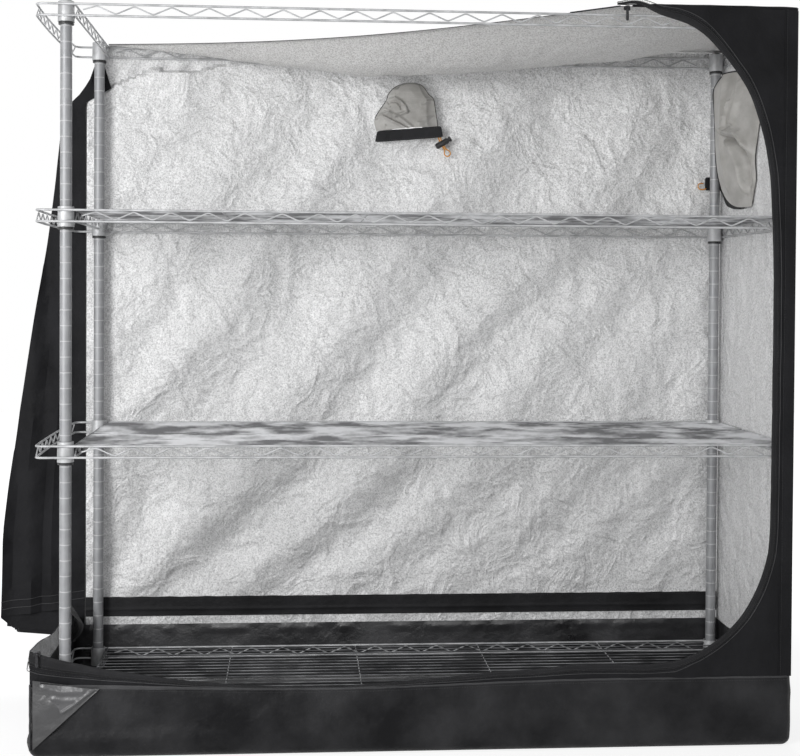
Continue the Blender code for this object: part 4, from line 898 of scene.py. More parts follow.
def cloth(surface, columns, rows, thickness, outward, materials, loop=False, hole=None):
    """Cloth on surface(u, v), u and v from 0 to 1, thickened outwards, with a UV map in metres.

    The first material is the inner face's and the second the outer face's. A loop closes in u. A hole
    takes a point and says how far outside the hole it lies and where the nearest point of its rim is."""
    shape = bmesh.new()
    uv = shape.loops.layers.uv.new("cloth")
    across = columns if loop else columns + 1
    grid = [[shape.verts.new(surface(i / columns, j / rows)) for i in range(across)] for j in range(rows + 1)]
    shape.verts.index_update()
    middle = grid[rows // 2]
    width = sum((b.co - a.co).length for a, b in zip(middle, middle[1:]))
    height = sum((below[across // 2].co - above[across // 2].co).length
                 for below, above in zip(grid, grid[1:]))
    for j in range(rows):
        for i in range(columns):
            k = (i + 1) % across
            face = shape.faces.new((grid[j][i], grid[j][k], grid[j + 1][k], grid[j + 1][i]))
            spots = ((i, j), (i + 1, j), (i + 1, j + 1), (i, j + 1))
            for corner, (column, row) in zip(face.loops, spots):
                corner[uv].uv = (width * column / columns, height * row / rows)
    if hole is not None:
        inside = [face for face in shape.faces if hole(face.calc_center_median())[0] < 0]
        bmesh.ops.delete(shape, geom=inside, context="FACES")
        rim = {vertex for edge in shape.edges if edge.is_boundary for vertex in edge.verts}
        for vertex in rim:
            gap, nearest = hole(vertex.co)
            if abs(gap) < width / columns * 1.5:
                vertex.co = nearest
    shape.normal_update()
    total = sum(face.normal.dot(outward(face.calc_center_median())) for face in shape.faces)
    if total < 0:
        bmesh.ops.reverse_faces(shape, faces=shape.faces)
        shape.normal_update()
    inner = list(shape.faces)
    rims = [edge for edge in shape.edges if edge.is_boundary]
    outer = {vertex: shape.verts.new(vertex.co + vertex.normal * thickness) for vertex in list(shape.verts)}
    for face in inner:
        copy = shape.faces.new([outer[vertex] for vertex in face.verts])
        copy.material_index = 1
        for corner, source in zip(copy.loops, face.loops):
            corner[uv].uv = source[uv].uv
    for edge in rims:
        first, second = edge.verts
        shape.faces.new((first, second, outer[second], outer[first])).material_index = 1
    bmesh.ops.reverse_faces(shape, faces=inner)
    bmesh.ops.recalc_face_normals(shape, faces=shape.faces)
    mesh = mesh_of(shape, "cloth")
    for material in materials:
        mesh.materials.append(material)
    return mesh


def facing(*direction):
    """For cloth(): an outward direction that is the same everywhere."""
    return lambda point: Vector(direction)


def flat_tube(stations, sides=20, squareness=0.45):
    """A closed soft bar through stations, each a middle and its two half axes."""
    shape = bmesh.new()
    rings = []
    for middle, wide, thick in stations:
        ring = []
        for index in range(sides):
            angle = 2 * math.pi * index / sides
            a = math.copysign(abs(math.cos(angle)) ** squareness, math.cos(angle))
            b = math.copysign(abs(math.sin(angle)) ** squareness, math.sin(angle))
            ring.append(shape.verts.new(Vector(middle) + Vector(wide) * a + Vector(thick) * b))
        rings.append(ring)
    for ring, after in zip(rings, rings[1:]):
        for index in range(sides):
            other = (index + 1) % sides
            shape.faces.new((ring[index], ring[other], after[other], after[index]))
    shape.faces.new(list(reversed(rings[0])))
    shape.faces.new(rings[-1])
    bmesh.ops.recalc_face_normals(shape, faces=shape.faces)
    return mesh_of(shape, "flat_tube")


def closed_bar(line, wide, thick, squareness=0.45):
    """A flat_tube along a line with constant half axes and softened ends."""
    ahead = (line[-1] - line[0]).normalized()
    inset = Vector(thick).length * 0.5
    stations = [(line[0], Vector(wide) * 0.8, Vector(thick) * 0.6)]
    stations.append((line[0] + ahead * inset, wide, thick))
    stations += [(point, wide, thick) for point in line[1:-1]]
    stations.append((line[-1] - ahead * inset, wide, thick))
    stations.append((line[-1], Vector(wide) * 0.8, Vector(thick) * 0.6))
    return flat_tube(stations, squareness=squareness)


def cut(mesh, others):
    """The mesh with other solids cut out of it."""
    item = link(bpy.data.objects.new("cut", mesh))
    cutters = [link(bpy.data.objects.new("cutter", other)) for other in others]
    for cutter in cutters:
        step = item.modifiers.new("Boolean", "BOOLEAN")
        step.operation = "DIFFERENCE"
        step.object = cutter
    result = plain_mesh(item)
    for cutter in cutters:
        bpy.data.objects.remove(cutter, do_unlink=True)
    return result


def from_line(spot, line):
    """The distance from a spot to a line of points, in the plane."""
    best = 1.0
    for first, second in zip(line, line[1:]):
        first = Vector(first)
        leg = Vector(second) - first
        share = min(1.0, max(0.0, (spot - first).dot(leg) / leg.length_squared))
        best = min(best, (spot - first - leg * share).length)
    return best


def creased(spot, creases):
    """The height at a spot of creases, each a line with its width and height."""
    return sum(height * math.exp(-(from_line(spot, line) / width) ** 2) for line, width, height in creases)


def dots(line, spacing, size, material):
    """Stitches or teeth along a line."""
    return grown(poly_curve([line]), ROW, {"Spacing": spacing, "Piece Size": size, "Material": material})


def stitching(lines, spacing=STITCH_SPACING, size=STITCH_SIZE):
    """Rows of stitches along lines, as one mesh."""
    return joined([dots(line, spacing, size, BINDING) for line in lines])


def ridge(place, scale, seed, power=3):
    """A creased noise from 0 to 1, sharp along its ridges."""
    spot = Vector(place) * scale + Vector((seed, 2 * seed, 3 * seed))
    return max(0.0, 1 - abs(noise.noise(spot)) * 2) ** power


# Geometry node trees

def new_tree(name, sizes):
    tree = bpy.data.node_groups.new(name, "GeometryNodeTree")
    tree.interface.new_socket(name="Geometry", in_out="INPUT", socket_type="NodeSocketGeometry")
    tree.interface.new_socket(name="Geometry", in_out="OUTPUT", socket_type="NodeSocketGeometry")
    for label, kind in sizes.items():
        tree.interface.new_socket(name=label, in_out="INPUT", socket_type=kind)
    return tree, tree.nodes.new("NodeGroupInput"), tree.nodes.new("NodeGroupOutput")


def end_tree(tree, entry, leave, geometry):
    """Realize what the tree made and give it its material."""
    real = tree.nodes.new("GeometryNodeRealizeInstances")
    tree.links.new(geometry, real.inputs["Geometry"])
    paint = tree.nodes.new("GeometryNodeSetMaterial")
    tree.links.new(real.outputs["Geometry"], paint.inputs["Geometry"])
    tree.links.new(entry.outputs["Material"], paint.inputs["Material"])
    tree.links.new(paint.outputs["Geometry"], leave.inputs["Geometry"])


def repeat_tree():
    """Copies of the incoming piece, a fixed step apart."""
    tree, entry, leave = new_tree("pieces_a_step_apart", {
        "Count": "NodeSocketInt", "Step": "NodeSocketVector", "Material": "NodeSocketMaterial"})
    line = tree.nodes.new("GeometryNodeMeshLine")
    line.mode = "OFFSET"
    tree.links.new(entry.outputs["Count"], line.inputs["Count"])
    tree.links.new(entry.outputs["Step"], line.inputs["Offset"])
    copies = tree.nodes.new("GeometryNodeInstanceOnPoints")
    tree.links.new(line.outputs["Mesh"], copies.inputs["Points"])
    tree.links.new(entry.outputs["Geometry"], copies.inputs["Instance"])
    end_tree(tree, entry, leave, copies.outputs["Instances"])
    return tree


def row_tree():
    """Small rounded pieces, such as stitches or zip teeth, in a row along the incoming curve."""
    tree, entry, leave = new_tree("small_pieces_along_a_line", {
        "Spacing": "NodeSocketFloat", "Piece Size": "NodeSocketVector", "Material": "NodeSocketMaterial"})
    spaced = tree.nodes.new("GeometryNodeResampleCurve")
    spaced.mode = "LENGTH"
    tree.links.new(entry.outputs["Geometry"], spaced.inputs["Curve"])
    tree.links.new(entry.outputs["Spacing"], spaced.inputs["Length"])
    bead = tree.nodes.new("GeometryNodeMeshUVSphere")
    bead.inputs["Segments"].default_value = 6
    bead.inputs["Rings"].default_value = 4
    bead.inputs["Radius"].default_value = 0.5
    ahead = tree.nodes.new("GeometryNodeInputTangent")
    turn = tree.nodes.new("FunctionNodeAlignEulerToVector")
    turn.axis = "X"
    tree.links.new(ahead.outputs["Tangent"], turn.inputs["Vector"])
    copies = tree.nodes.new("GeometryNodeInstanceOnPoints")
    tree.links.new(spaced.outputs["Curve"], copies.inputs["Points"])
    tree.links.new(bead.outputs["Mesh"], copies.inputs["Instance"])
    tree.links.new(turn.outputs["Rotation"], copies.inputs["Rotation"])
    tree.links.new(entry.outputs["Piece Size"], copies.inputs["Scale"])
    end_tree(tree, entry, leave, copies.outputs["Instances"])
    return tree


def grown(data, tree, values):
    """The plain mesh that a tree makes of a mesh or curve, with the tree's inputs set by name."""
    item = link(bpy.data.objects.new("grown", data))
    modifier = item.modifiers.new("grown", "NODES")
    modifier.node_group = tree
    for socket in tree.interface.items_tree:
        if socket.in_out == "INPUT" and socket.name in values:
            modifier[socket.identifier] = values[socket.name]
    return plain_mesh(item)


REPEAT = repeat_tree()
ROW = row_tree()


# Cords

def build_cords():
    """Short orange drawcords of the two vent sleeves."""
    for name, route in (("rear_drawcord", REAR_CORD_ROUTE), ("side_drawcord", SIDE_CORD_ROUTE)):
        line = fine_line(route, 24, CORD_DIAMETER / 3)
        item = stand_in(name + "_braid", tube(line, CORD_DIAMETER), ORANGE_BRAID, [name])


# Rack

def build_posts():
    """Steel tubes with a groove rolled round them every inch."""
    groove = turned([(POST_RADIUS, 0), (POST_RADIUS, GROOVE_SPACING - GROOVE_WIDTH),
                     (POST_RADIUS - GROOVE_DEPTH / 2, GROOVE_SPACING - GROOVE_WIDTH * 0.75),
                     (POST_RADIUS - GROOVE_DEPTH, GROOVE_SPACING - GROOVE_WIDTH / 2),
                     (POST_RADIUS - GROOVE_DEPTH / 2, GROOVE_SPACING - GROOVE_WIDTH * 0.25),
                     (POST_RADIUS, GROOVE_SPACING)], closed=False)
    grooves = grown(groove, REPEAT, {"Count": GROOVE_COUNT, "Step": (0, 0, GROOVE_SPACING),
                                     "Material": TUBE_STEEL})
    grooves.transform(Matrix.Translation((0, 0, GROOVE_BASE)))
    top = GROOVE_BASE + GROOVE_SPACING * GROOVE_COUNT
    bore = POST_RADIUS * 0.4
    lower = turned([(POST_RADIUS, GROOVE_BASE), (POST_RADIUS, POST_BASE), (bore, POST_BASE),
                    (bore, GROOVE_BASE)], closed=False)
    upper = turned([(POST_RADIUS, top), (POST_RADIUS, POST_TOP), (bore, POST_TOP), (bore, top)], closed=False)
    tube_mesh = joined([grooves, lower, upper], weld=True)
    at_each_post("grooved_post", tube_mesh, 0, TUBE_STEEL, "post", sharp=20)


def rounded_profile(corners, radius, steps=3):
    """A closed profile with each of its corners rounded."""
    points = [Vector((r, z)) for r, z in corners]
    line = []
    for index, corner in enumerate(points):
        before = points[index - 1]
        after = points[(index + 1) % len(points)]
        reach = min(radius, (before - corner).length / 2, (after - corner).length / 2)
        line += rounded_corner(before, corner, after, reach, steps)
    return [(point.x, point.y) for point in line]


def build_caps():
    """Push-in post caps with a domed head."""
    low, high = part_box("cap_front_left")
    base = POST_TOP + FIT_GAP
    stem = POST_RADIUS * 0.85
    head = [(0, high[2])]
    for index in range(6):
        angle = math.radians(90 - 18 * index)
        head.append((POST_RADIUS * (0.7 + 0.3 * math.cos(angle)),
                     base + (high[2] - base) * (0.35 + 0.65 * math.sin(angle))))
    cap = turned(head + [(POST_RADIUS, base), (stem, base), (stem, low[2]), (0, low[2])], closed=False)
    at_each_post("post_cap", cap, 0, PLASTIC, "cap")


def build_feet():
    """Levelling feet: a round pad with a grooved rim, a neck and a threaded stud."""
    low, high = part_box("foot_front_left")
    pad = (high[0] - low[0]) / 2
    stud = pad * 0.26
    neck = pad * 0.52
    root = stud * 0.88
    pad_top = low[2] + FOOT_PAD_HEIGHT
    neck_top = pad_top + FOOT_NECK_HEIGHT
    profile = [(0, low[2]), (pad * 0.92, low[2]), (pad, low[2] + 0.0008), (pad, low[2] + 0.0022),
               (pad * 0.97, low[2] + 0.0026), (pad, low[2] + 0.0030), (pad * 0.98, low[2] + 0.0046),
               (pad * 0.85, pad_top), (neck, pad_top + 0.0006), (neck, neck_top - 0.0004),
               (neck * 0.93, neck_top), (stud, neck_top)]
    count = int((high[2] - neck_top) / FOOT_THREAD_PITCH) - 1
    for index in range(count):
        height = neck_top + FOOT_THREAD_PITCH * (index + 0.5)
        profile += [(stud, height), (root, height + FOOT_THREAD_PITCH / 2)]
    profile += [(root, high[2]), (0, high[2])]
    foot = turned(profile, closed=False)
    at_each_post("levelling_foot", foot, 0, PLASTIC, "foot")


def build_sleeves():
    """Tapered split sleeves; only their lower ring shows under a collar."""
    top = SLEEVE_RISE
    seat = -COLLAR_DROP - FIT_GAP
    ring = SLEEVE_BOTTOM_RADIUS + RING_STEP
    corners = [(SLEEVE_BORE, top), (SLEEVE_TOP_RADIUS, top), (SLEEVE_BOTTOM_RADIUS, seat), (ring, seat),
               (ring, seat - RING_HEIGHT), (SLEEVE_BORE, seat - RING_HEIGHT)]
    sleeve = turned(rounded_profile(corners, EDGE_ROUND), slit=SLEEVE_SLIT / SLEEVE_BORE)
    for level_name, level in zip(LEVEL_NAMES, LEVELS):
        at_each_post(level_name + "_split_sleeve", sleeve, level, PLASTIC,
                     level_name + "_sleeve")


def left_end_x(y):
    """The outer left end of a shelf bows outwards between its corners."""
    return LEFT_RAIL_X - LEFT_BOW * max(0.0, 1 - (y / (RAIL_Y - RAIL_CORNER_RADIUS)) ** 2)


def rail_loop(height):
    """One wire bent into a loop round the four posts."""
    radius = RAIL_CORNER_RADIUS
    corners = ((RIGHT_RAIL_X - radius, RAIL_Y - radius, 0), (LEFT_RAIL_X + radius, RAIL_Y - radius, 90),
               (LEFT_RAIL_X + radius, -RAIL_Y + radius, 180), (RIGHT_RAIL_X - radius, -RAIL_Y + radius, 270))
    points = []
    for x, y, start in corners:
        for turn in range(0, 91, 10):
            angle = math.radians(start + turn)
            points.append((x + radius * math.cos(angle), y + radius * math.sin(angle), height))
        if start == 90:
            half = RAIL_Y - radius
            shares = (0.75, 0.5, 0.25, 0, -0.25, -0.5, -0.75)
            points += [(left_end_x(half * share), half * share, height) for share in shares]
    return points


def zigzag_heights(level):
    """Heights of the upper and lower bends of a wire between a shelf's two rails."""
    inset = RAIL_RADIUS + ZIGZAG_DIAMETER / 2 - WELD_DEPTH / 2
    return level - inset, level - RAIL_DROP + inset


def long_zigzag(level, y):
    """The bent wire between a long side's two rails, clear of the collars."""
    high, low = zigzag_heights(level)
    x = -POST_X + ZIGZAG_START
    limit = POST_X - COLLAR_RADIUS_BOTTOM - ZIGZAG_DIAMETER
    first = x + ZIGZAG_PITCH * ZIGZAG_FIRST_SHARE
    count = int((limit - first) / (ZIGZAG_PITCH / 2))
    points = [(x, y, level - RAIL_DROP / 2)]
    for index in range(count + 1):
        points.append((first + index * ZIGZAG_PITCH / 2, y, low if index % 2 else high))
    return bent(points, ZIGZAG_BEND)


def end_zigzag(level, place):
    """The bent wire between an end's two rails; place(y) is the end's x."""
    high, low = zigzag_heights(level)
    half = RAIL_Y - RAIL_CORNER_RADIUS
    count = int(2 * half / (END_ZIGZAG_PITCH / 2))
    step = 2 * half / count
    points = []
    for index in range(count + 1):
        y = -half + step * index
        points.append((place(y), y, high if index % 2 else low))
    return bent(points, ZIGZAG_BEND)


def cross_truss(level, reach):
    """The inner truss between the left posts: two straight wires and the bent one between them."""
    straight = [[(INNER_RAIL_X, -reach, height), (INNER_RAIL_X, reach, height)]
                for height in (level, level - RAIL_DROP)]
    zigzag = end_zigzag(level, lambda y: INNER_RAIL_X)
    return [wire(straight, RAIL_DIAMETER), wire([zigzag], ZIGZAG_DIAMETER, roundness=2)]


def straight_wires(first, last, step, count, diameter, material):
    """Parallel wires a step apart."""
    line = [Vector(first).lerp(Vector(last), share) for share in (0, 0.5, 1)]
    values = {"Count": count, "Step": step, "Material": material}
    return grown(wire([line], diameter, roundness=2), REPEAT, values)


def build_frame(name, level, with_deck):
    """Rails, zigzags and collars of one shelf, welded together, with the deck's cross wires."""
    parts = [wire([rail_loop(level), rail_loop(level - RAIL_DROP)], RAIL_DIAMETER, cyclic=True)]
    collar = turned(rounded_profile([
        (COLLAR_BORE_TOP, level + COLLAR_RISE), (COLLAR_RADIUS_TOP, level + COLLAR_RISE),
        (COLLAR_RADIUS_BOTTOM, level - COLLAR_DROP), (COLLAR_BORE_BOTTOM, level - COLLAR_DROP)], EDGE_ROUND))
    parts += [moved(collar, (x, y, 0)) for x, y in PLACES.values()]
    parts.append(wire([long_zigzag(level, -RAIL_Y), long_zigzag(level, RAIL_Y), end_zigzag(level, left_end_x),
                       end_zigzag(level, lambda y: RIGHT_RAIL_X)], ZIGZAG_DIAMETER, roundness=2))
    if with_deck:
        height = level + DECK_RISE - DECK_WIRE_DIAMETER
        step = (RIGHT_RAIL_X - INNER_RAIL_X) / (CROSS_WIRE_COUNT + 1)
        x = INNER_RAIL_X + step
        parts.append(straight_wires((x, -RAIL_Y, height), (x, RAIL_Y, height), (step, 0, 0), CROSS_WIRE_COUNT,
                                    DECK_WIRE_DIAMETER * 0.8, SHADED_DECK_STEEL))
    else:
        parts += cross_truss(level, RAIL_Y)
    stand_in(name + "_welded_frame", joined(parts), WIRE_STEEL, [name + "_frame"])


def build_deck(name, level):
    """Deck wires along the shelf, welded to its inner left truss."""
    height = level + DECK_RISE
    right = RIGHT_RAIL_X - RAIL_RADIUS - FIT_GAP
    collar_side = POST_X - COLLAR_RADIUS_BOTTOM - FIT_GAP
    step = 2 * RAIL_Y / (DECK_WIRE_COUNT + 1)
    parts = []
    # The bottom deck takes the darker copy of the steel: painted shade
    steel = SHADED_DECK_STEEL if level == LEVELS[0] else DECK_STEEL
    for first, count, end in ((1, 1, collar_side), (2, DECK_WIRE_COUNT - 2, right),
                              (DECK_WIRE_COUNT, 1, collar_side)):
        y = -RAIL_Y + step * first
        parts.append(straight_wires((INNER_RAIL_X, y, height), (end, y, height), (0, step, 0), count,
                                    DECK_WIRE_DIAMETER, steel))
    truss = cross_truss(level, RAIL_Y - RAIL_RADIUS - FIT_GAP)
    stand_in(name + "_wire_deck", joined(parts + truss), steel, [name + "_deck"])


def build_shelves():
    for name, level in zip(LEVEL_NAMES, LEVELS):
        with_deck = name != LEVEL_NAMES[-1]
        build_frame(name, level, with_deck)
        if with_deck:
            build_deck(name, level)


# Cover shapes

def seam_height(x):
    """The seam on top of the front pan wall sags a little left of the middle."""
    share = (x - INSIDE_LEFT) / COVER_WIDTH
    return SEAM_HEIGHT - SEAM_SAG * max(0.0, math.sin(math.pi * min(1.0, share / 0.75))) ** 2


def pan_top(place, out):
    """The height of the pan's seam at a place of its plan, where its wall faces out."""
    return seam_height(place.x) if out.y < -0.5 else SEAM_HEIGHT


def rear_left_edge(height):
    """The rear wall's left edge runs inwards towards the roof."""
    share = max(0.0, (height - (COVER_TOP - REAR_WALL_TAPER_HEIGHT)) / REAR_WALL_TAPER_HEIGHT)
    return REAR_WALL_LEFT + (REAR_WALL_TOP_INSET - REAR_WALL_INSET) * share


def roof_rear_height(x):
    share = (x - REAR_WALL_LEFT) / (INSIDE_RIGHT - REAR_WALL_LEFT)
    return ROOF_LEFT_HEIGHT + (COVER_TOP - ROOF_LEFT_HEIGHT) * share


def round_hole(middle, radius, first, second):
    """A hole for cloth(): the two named axes of a point are measured from its middle."""
    def gap(point):
        a = point[first] - middle[0]
        b = point[second] - middle[1]
        distance = math.hypot(a, b)
        nearest = Vector(point)
        nearest[first] = middle[0] + a / distance * radius
        nearest[second] = middle[1] + b / distance * radius
        return distance - radius, nearest
    return gap


def pan_plan(share):
    """A point of the pan's rounded plan and its outward direction, from the front left along the front."""
    radius = PAN_CORNER_RADIUS
    left, right, front, rear = INSIDE_LEFT, INSIDE_RIGHT, FRONT_Y, REAR_Y
    width = right - left - 2 * radius
    depth = rear - front - 2 * radius
    arc = math.pi / 2 * radius
    total = 2 * width + 2 * depth + 4 * arc
    run = (share % 1.0) * total
    legs = ((Vector((left + radius, front, 0)), Vector((1, 0, 0)), Vector((0, -1, 0)), width),
            (Vector((right, front + radius, 0)), Vector((0, 1, 0)), Vector((1, 0, 0)), depth),
            (Vector((right - radius, rear, 0)), Vector((-1, 0, 0)), Vector((0, 1, 0)), width),
            (Vector((left, rear - radius, 0)), Vector((0, -1, 0)), Vector((-1, 0, 0)), depth))
    for start, ahead, out, length in legs:
        if run <= length:
            return start + ahead * run, out
        run -= length
        if run <= arc:
            angle = run / radius
            centre = start + ahead * length - out * radius
            turn = out * math.cos(angle) + ahead * math.sin(angle)
            return centre + turn * radius, turn
        run -= arc
    return legs[0][0], legs[0][2]


def rear_pleat(x, height, below):
    """How deep the rear wall's cloth is gathered inwards, a distance below its seam."""
    lean = x + 0.5 * below
    pleat = max(0.0, 1 - abs(noise.noise(Vector((lean * 17, 6, height * 3)))) * 3.0)
    hang = smooth_step((height - PLEAT_BASE) / PLEAT_SOFTNESS) * smooth_step(below / PLEAT_SOFTNESS)
    uneven = 0.4 + 1.2 * abs(noise.noise(Vector((lean * 4, 1, 1))))
    return PLEAT_DEPTH * pleat * hang * min(1.0, uneven)


def pan_push(place, height, top):
    """How far the pan's wall stands out: soft swells and puckers, or gathered inwards at the rear seam."""
    below = top - height
    if place.y > REAR_Y - WELD:
        return -rear_pleat(place.x, height, below)
    swell = math.sin(math.pi * min(1.0, max(0.0, height / top)))
    wave = noise.noise(Vector((place.x * 5, place.y * 5, height * 9)))
    fold = ridge((place.x, place.y, height * 1.5), 11, 2)
    lean = place.x - 0.7 * below
    pucker = max(0.0, noise.noise(Vector((lean * 26, 3, height * 5)))) * smooth_step(below / 0.012)
    pucker *= math.exp(-below / 0.030) * smooth_step((0.1 - place.x) / 0.5)
    from_roll = (height - PAN_ROLL_HEIGHT - 0.02 * (place.x + 0.6)) / PAN_ROLL_WIDTH
    roll = math.exp(-from_roll ** 2) * smooth_step((-0.25 - place.x) / 0.2)
    swells = (0.0030 + 0.0058 * wave + 0.0022 * fold) * swell
    return max(0.0, 0.0008 + swells + 0.0060 * pucker + 0.0050 * roll)


def build_pan():
    """The waterproof pan: one tray of coated cloth, shiny inside, with welded upright corners."""
    foot = PAN_FOOT_RADIUS

    def wall(u, v):
        place, out = pan_plan(u)
        top = pan_top(place, out)
        if v < PAN_FOOT_SHARE:
            angle = v / PAN_FOOT_SHARE * math.pi / 2
            height = CLOTH + foot * (1 - math.cos(angle))
            inward = foot * (1 - math.sin(angle))
        else:
            height = CLOTH + foot + (top - CLOTH - foot) * (v - PAN_FOOT_SHARE) / (1 - PAN_FOOT_SHARE)
            inward = 0
        return Vector((place.x, place.y, height)) + out * (pan_push(place, height, top) - inward)

    def floor(u, v):
        place, out = pan_plan(u)
        rim = Vector((place.x, place.y, CLOTH)) - out * foot
        left, right = PAN_FLOOR_CORE
        core = Vector((max(left, min(right, rim.x)), 0, CLOTH))
        spot = core.lerp(rim, v)
        spot.z = CLOTH + 0.0012 * ridge((spot.x, spot.y, 0), 9, 7, power=4) * (1 - v ** 4)
        return spot

    def away(point):
        return Vector((point.x, point.y, 0))

    walls = cloth(wall, PAN_STEPS, 24, CLOTH, away, [PAN_CLOTH, PAN_OUTSIDE], loop=True)
    base = cloth(floor, PAN_STEPS, 20, CLOTH, facing(0, 0, -1), [PAN_CLOTH, PAN_OUTSIDE], loop=True)
    item = stand_in("pan_tray", joined([walls, base], weld=True), ITS_OWN,
                    ["pan_floor", "pan_front", "pan_rear", "pan_left", "pan_right"])
    item.data.materials.append(PAN_CLOTH)
    item.data.materials.append(PAN_OUTSIDE)


def opening_edge():
    """The zip edge: along the left strip from the rear, then along the front and up the right column."""
    front = [Vector((INSIDE_LEFT + x * COVER_WIDTH, FRONT_Y, z * COVER_TOP)) for x, z in opening_edge_shares]
    line = fine_line(front, 12, 0.004)
    for point in line:
        share = (point.x - INSIDE_LEFT) / COVER_WIDTH
        if point.z > COVER_TOP / 2:
            point.z += ZIP_HUMP * math.exp(-((point.x - ZIP_HUMP_X) / ZIP_HUMP_WIDTH) ** 2)
        elif share < TURN_START:
            loops = noise.noise(Vector((point.x * 16, 2.0, 0.5)))
            loops *= EDGE_WAVE * smooth_step(share / 0.05)
            point.z += loops * smooth_step((TURN_START - share) / 0.06)
    side = []
    depth = REAR_Y - FRONT_Y
    count = 60
    for index in range(count):
        share = index / count
        height = LEFT_STRIP_REAR + (LEFT_STRIP_FRONT - LEFT_STRIP_REAR) * share
        height += 0.004 * math.sin(9 * share) * math.sin(math.pi * share)
        side.append(Vector((INSIDE_LEFT, REAR_Y - depth * share, height)))
    return side, line


def front_boundary(point):
    """The place on the front cloth's outer border that belongs to a point of its zip edge."""
    share = (point.x - INSIDE_LEFT) / COVER_WIDTH
    if share < TURN_START and point.z < COVER_TOP / 2:
        return Vector((point.x, FRONT_Y, seam_height(point.x)))
    if point.z < TURN_HEIGHT:
        blend = smooth_step((share - TURN_START) / (TURN_END - TURN_START))
        x = INSIDE_LEFT + COVER_WIDTH * (TURN_START + (1 - TURN_START) * min(1.0, 2 * blend))
        return Vector((x, FRONT_Y, SEAM_HEIGHT + (point.z - SEAM_HEIGHT) * max(0.0, 2 * blend - 1)))
    return Vector((INSIDE_RIGHT, FRONT_Y, min(point.z, COVER_TOP)))


def column_depth(place):
    """Slight upright folds of the right column's cloth."""
    column = smooth_step((place.x - 0.30) / 0.2)
    long_fold = noise.noise(Vector((place.x * 30, 3, place.z * 2.2)))
    wide = noise.noise(Vector((place.x * 8, 7, place.z * 5)))
    pull = ridge((place.x * 0.6, 0, place.z), 9, 3)
    border = min(1.0, max(0.0, (INSIDE_RIGHT - place.x) / 0.012))
    return max(0.0, 0.0012 + 0.0026 * long_fold + 0.0034 * wide + 0.0014 * pull) * column * border


def front_or_side(point):
    """For cloth(): outwards from the cover's front, or from its left side for points behind the front."""
    on_side = point.x < INSIDE_LEFT + WELD and point.y > FRONT_Y + WELD
    return Vector((-1, 0, 0)) if on_side else Vector((0, -1, 0))


def build_front_cloth():
    """The fixed front: the zip strip round the left side and front, and the column at the right."""
    side, front = opening_edge()
    pairs = [(point, Vector((point.x, point.y, SEAM_HEIGHT))) for point in side]
    pairs += [(point, front_boundary(point)) for point in front]
    pairs.append((front[-1], Vector((INSIDE_RIGHT, FRONT_Y, COVER_TOP))))
    count = len(pairs) - 1

    def surface(u, v):
        spot = u * count
        index = min(int(spot), count - 1)
        part = spot - index
        edge = pairs[index][0].lerp(pairs[index + 1][0], part)
        low = pairs[index][1].lerp(pairs[index + 1][1], part)
        place = edge.lerp(low, v)
        if place.y <= FRONT_Y + WELD:
            place.y -= column_depth(place)
        return place

    mesh = cloth(surface, count, 26, CLOTH, front_or_side, [FOIL, OXFORD])
    item = stand_in("front_cloth", mesh, ITS_OWN, ["front_panel"])
    return side, front


def tape_width(point, on_side):
    """The zip tape's width at a point of the zip edge, before its changes are eased."""
    share = (point.x - INSIDE_LEFT) / COVER_WIDTH
    if point.z > COVER_TOP / 2:
        width = SIDE_TAPE_WIDTH + (TAPE_WIDTH - SIDE_TAPE_WIDTH) * smooth_step((point.z - 1.12) / 0.10)
        return width * (0.2 + 0.8 * smooth_step((share - 0.757) / 0.05))
    if share < TURN_START:
        room = point.z - (SEAM_HEIGHT if on_side else seam_height(point.x))
        return min(LOW_TAPE_WIDTH, room * 0.60)
    return SIDE_TAPE_WIDTH


def tape_rows(side, front):
    """For each point of the zip edge: the point, the way out of the opening, the tape's width, and whether
    it is on the left side."""
    line = side + front
    widths = [tape_width(point, index < len(side)) for index, point in enumerate(line)]
    for index in range(1, len(line)):
        widths[index] = min(widths[index], widths[index - 1] + TAPE_NARROWING)
    for index in range(len(line) - 2, -1, -1):
        widths[index] = min(widths[index], widths[index + 1] + TAPE_NARROWING)
    rows = []
    for index, point in enumerate(line):
        ahead = heading(line, index)
        on_side = index < len(side)
        out = Vector((0, 0, -1)) if on_side else Vector((ahead.z, 0, -ahead.x))
        rows.append((point, out, widths[index], on_side))
    return rows


def off_cloth(place, on_side, distance):
    """A place on the cover's front or left face, moved out by a distance from the cloth's outer face."""
    if on_side:
        return Vector((place.x - CLOTH - distance, place.y, place.z))
    return Vector((place.x, place.y - CLOTH - distance - column_depth(place), place.z))


def along_tape(rows, share, lift):
    """A line along the zip tape at a share of its width, lifted off the cloth."""
    return [off_cloth(point + out * width * share, on_side, FIT_GAP + lift)
            for point, out, width, on_side in rows]


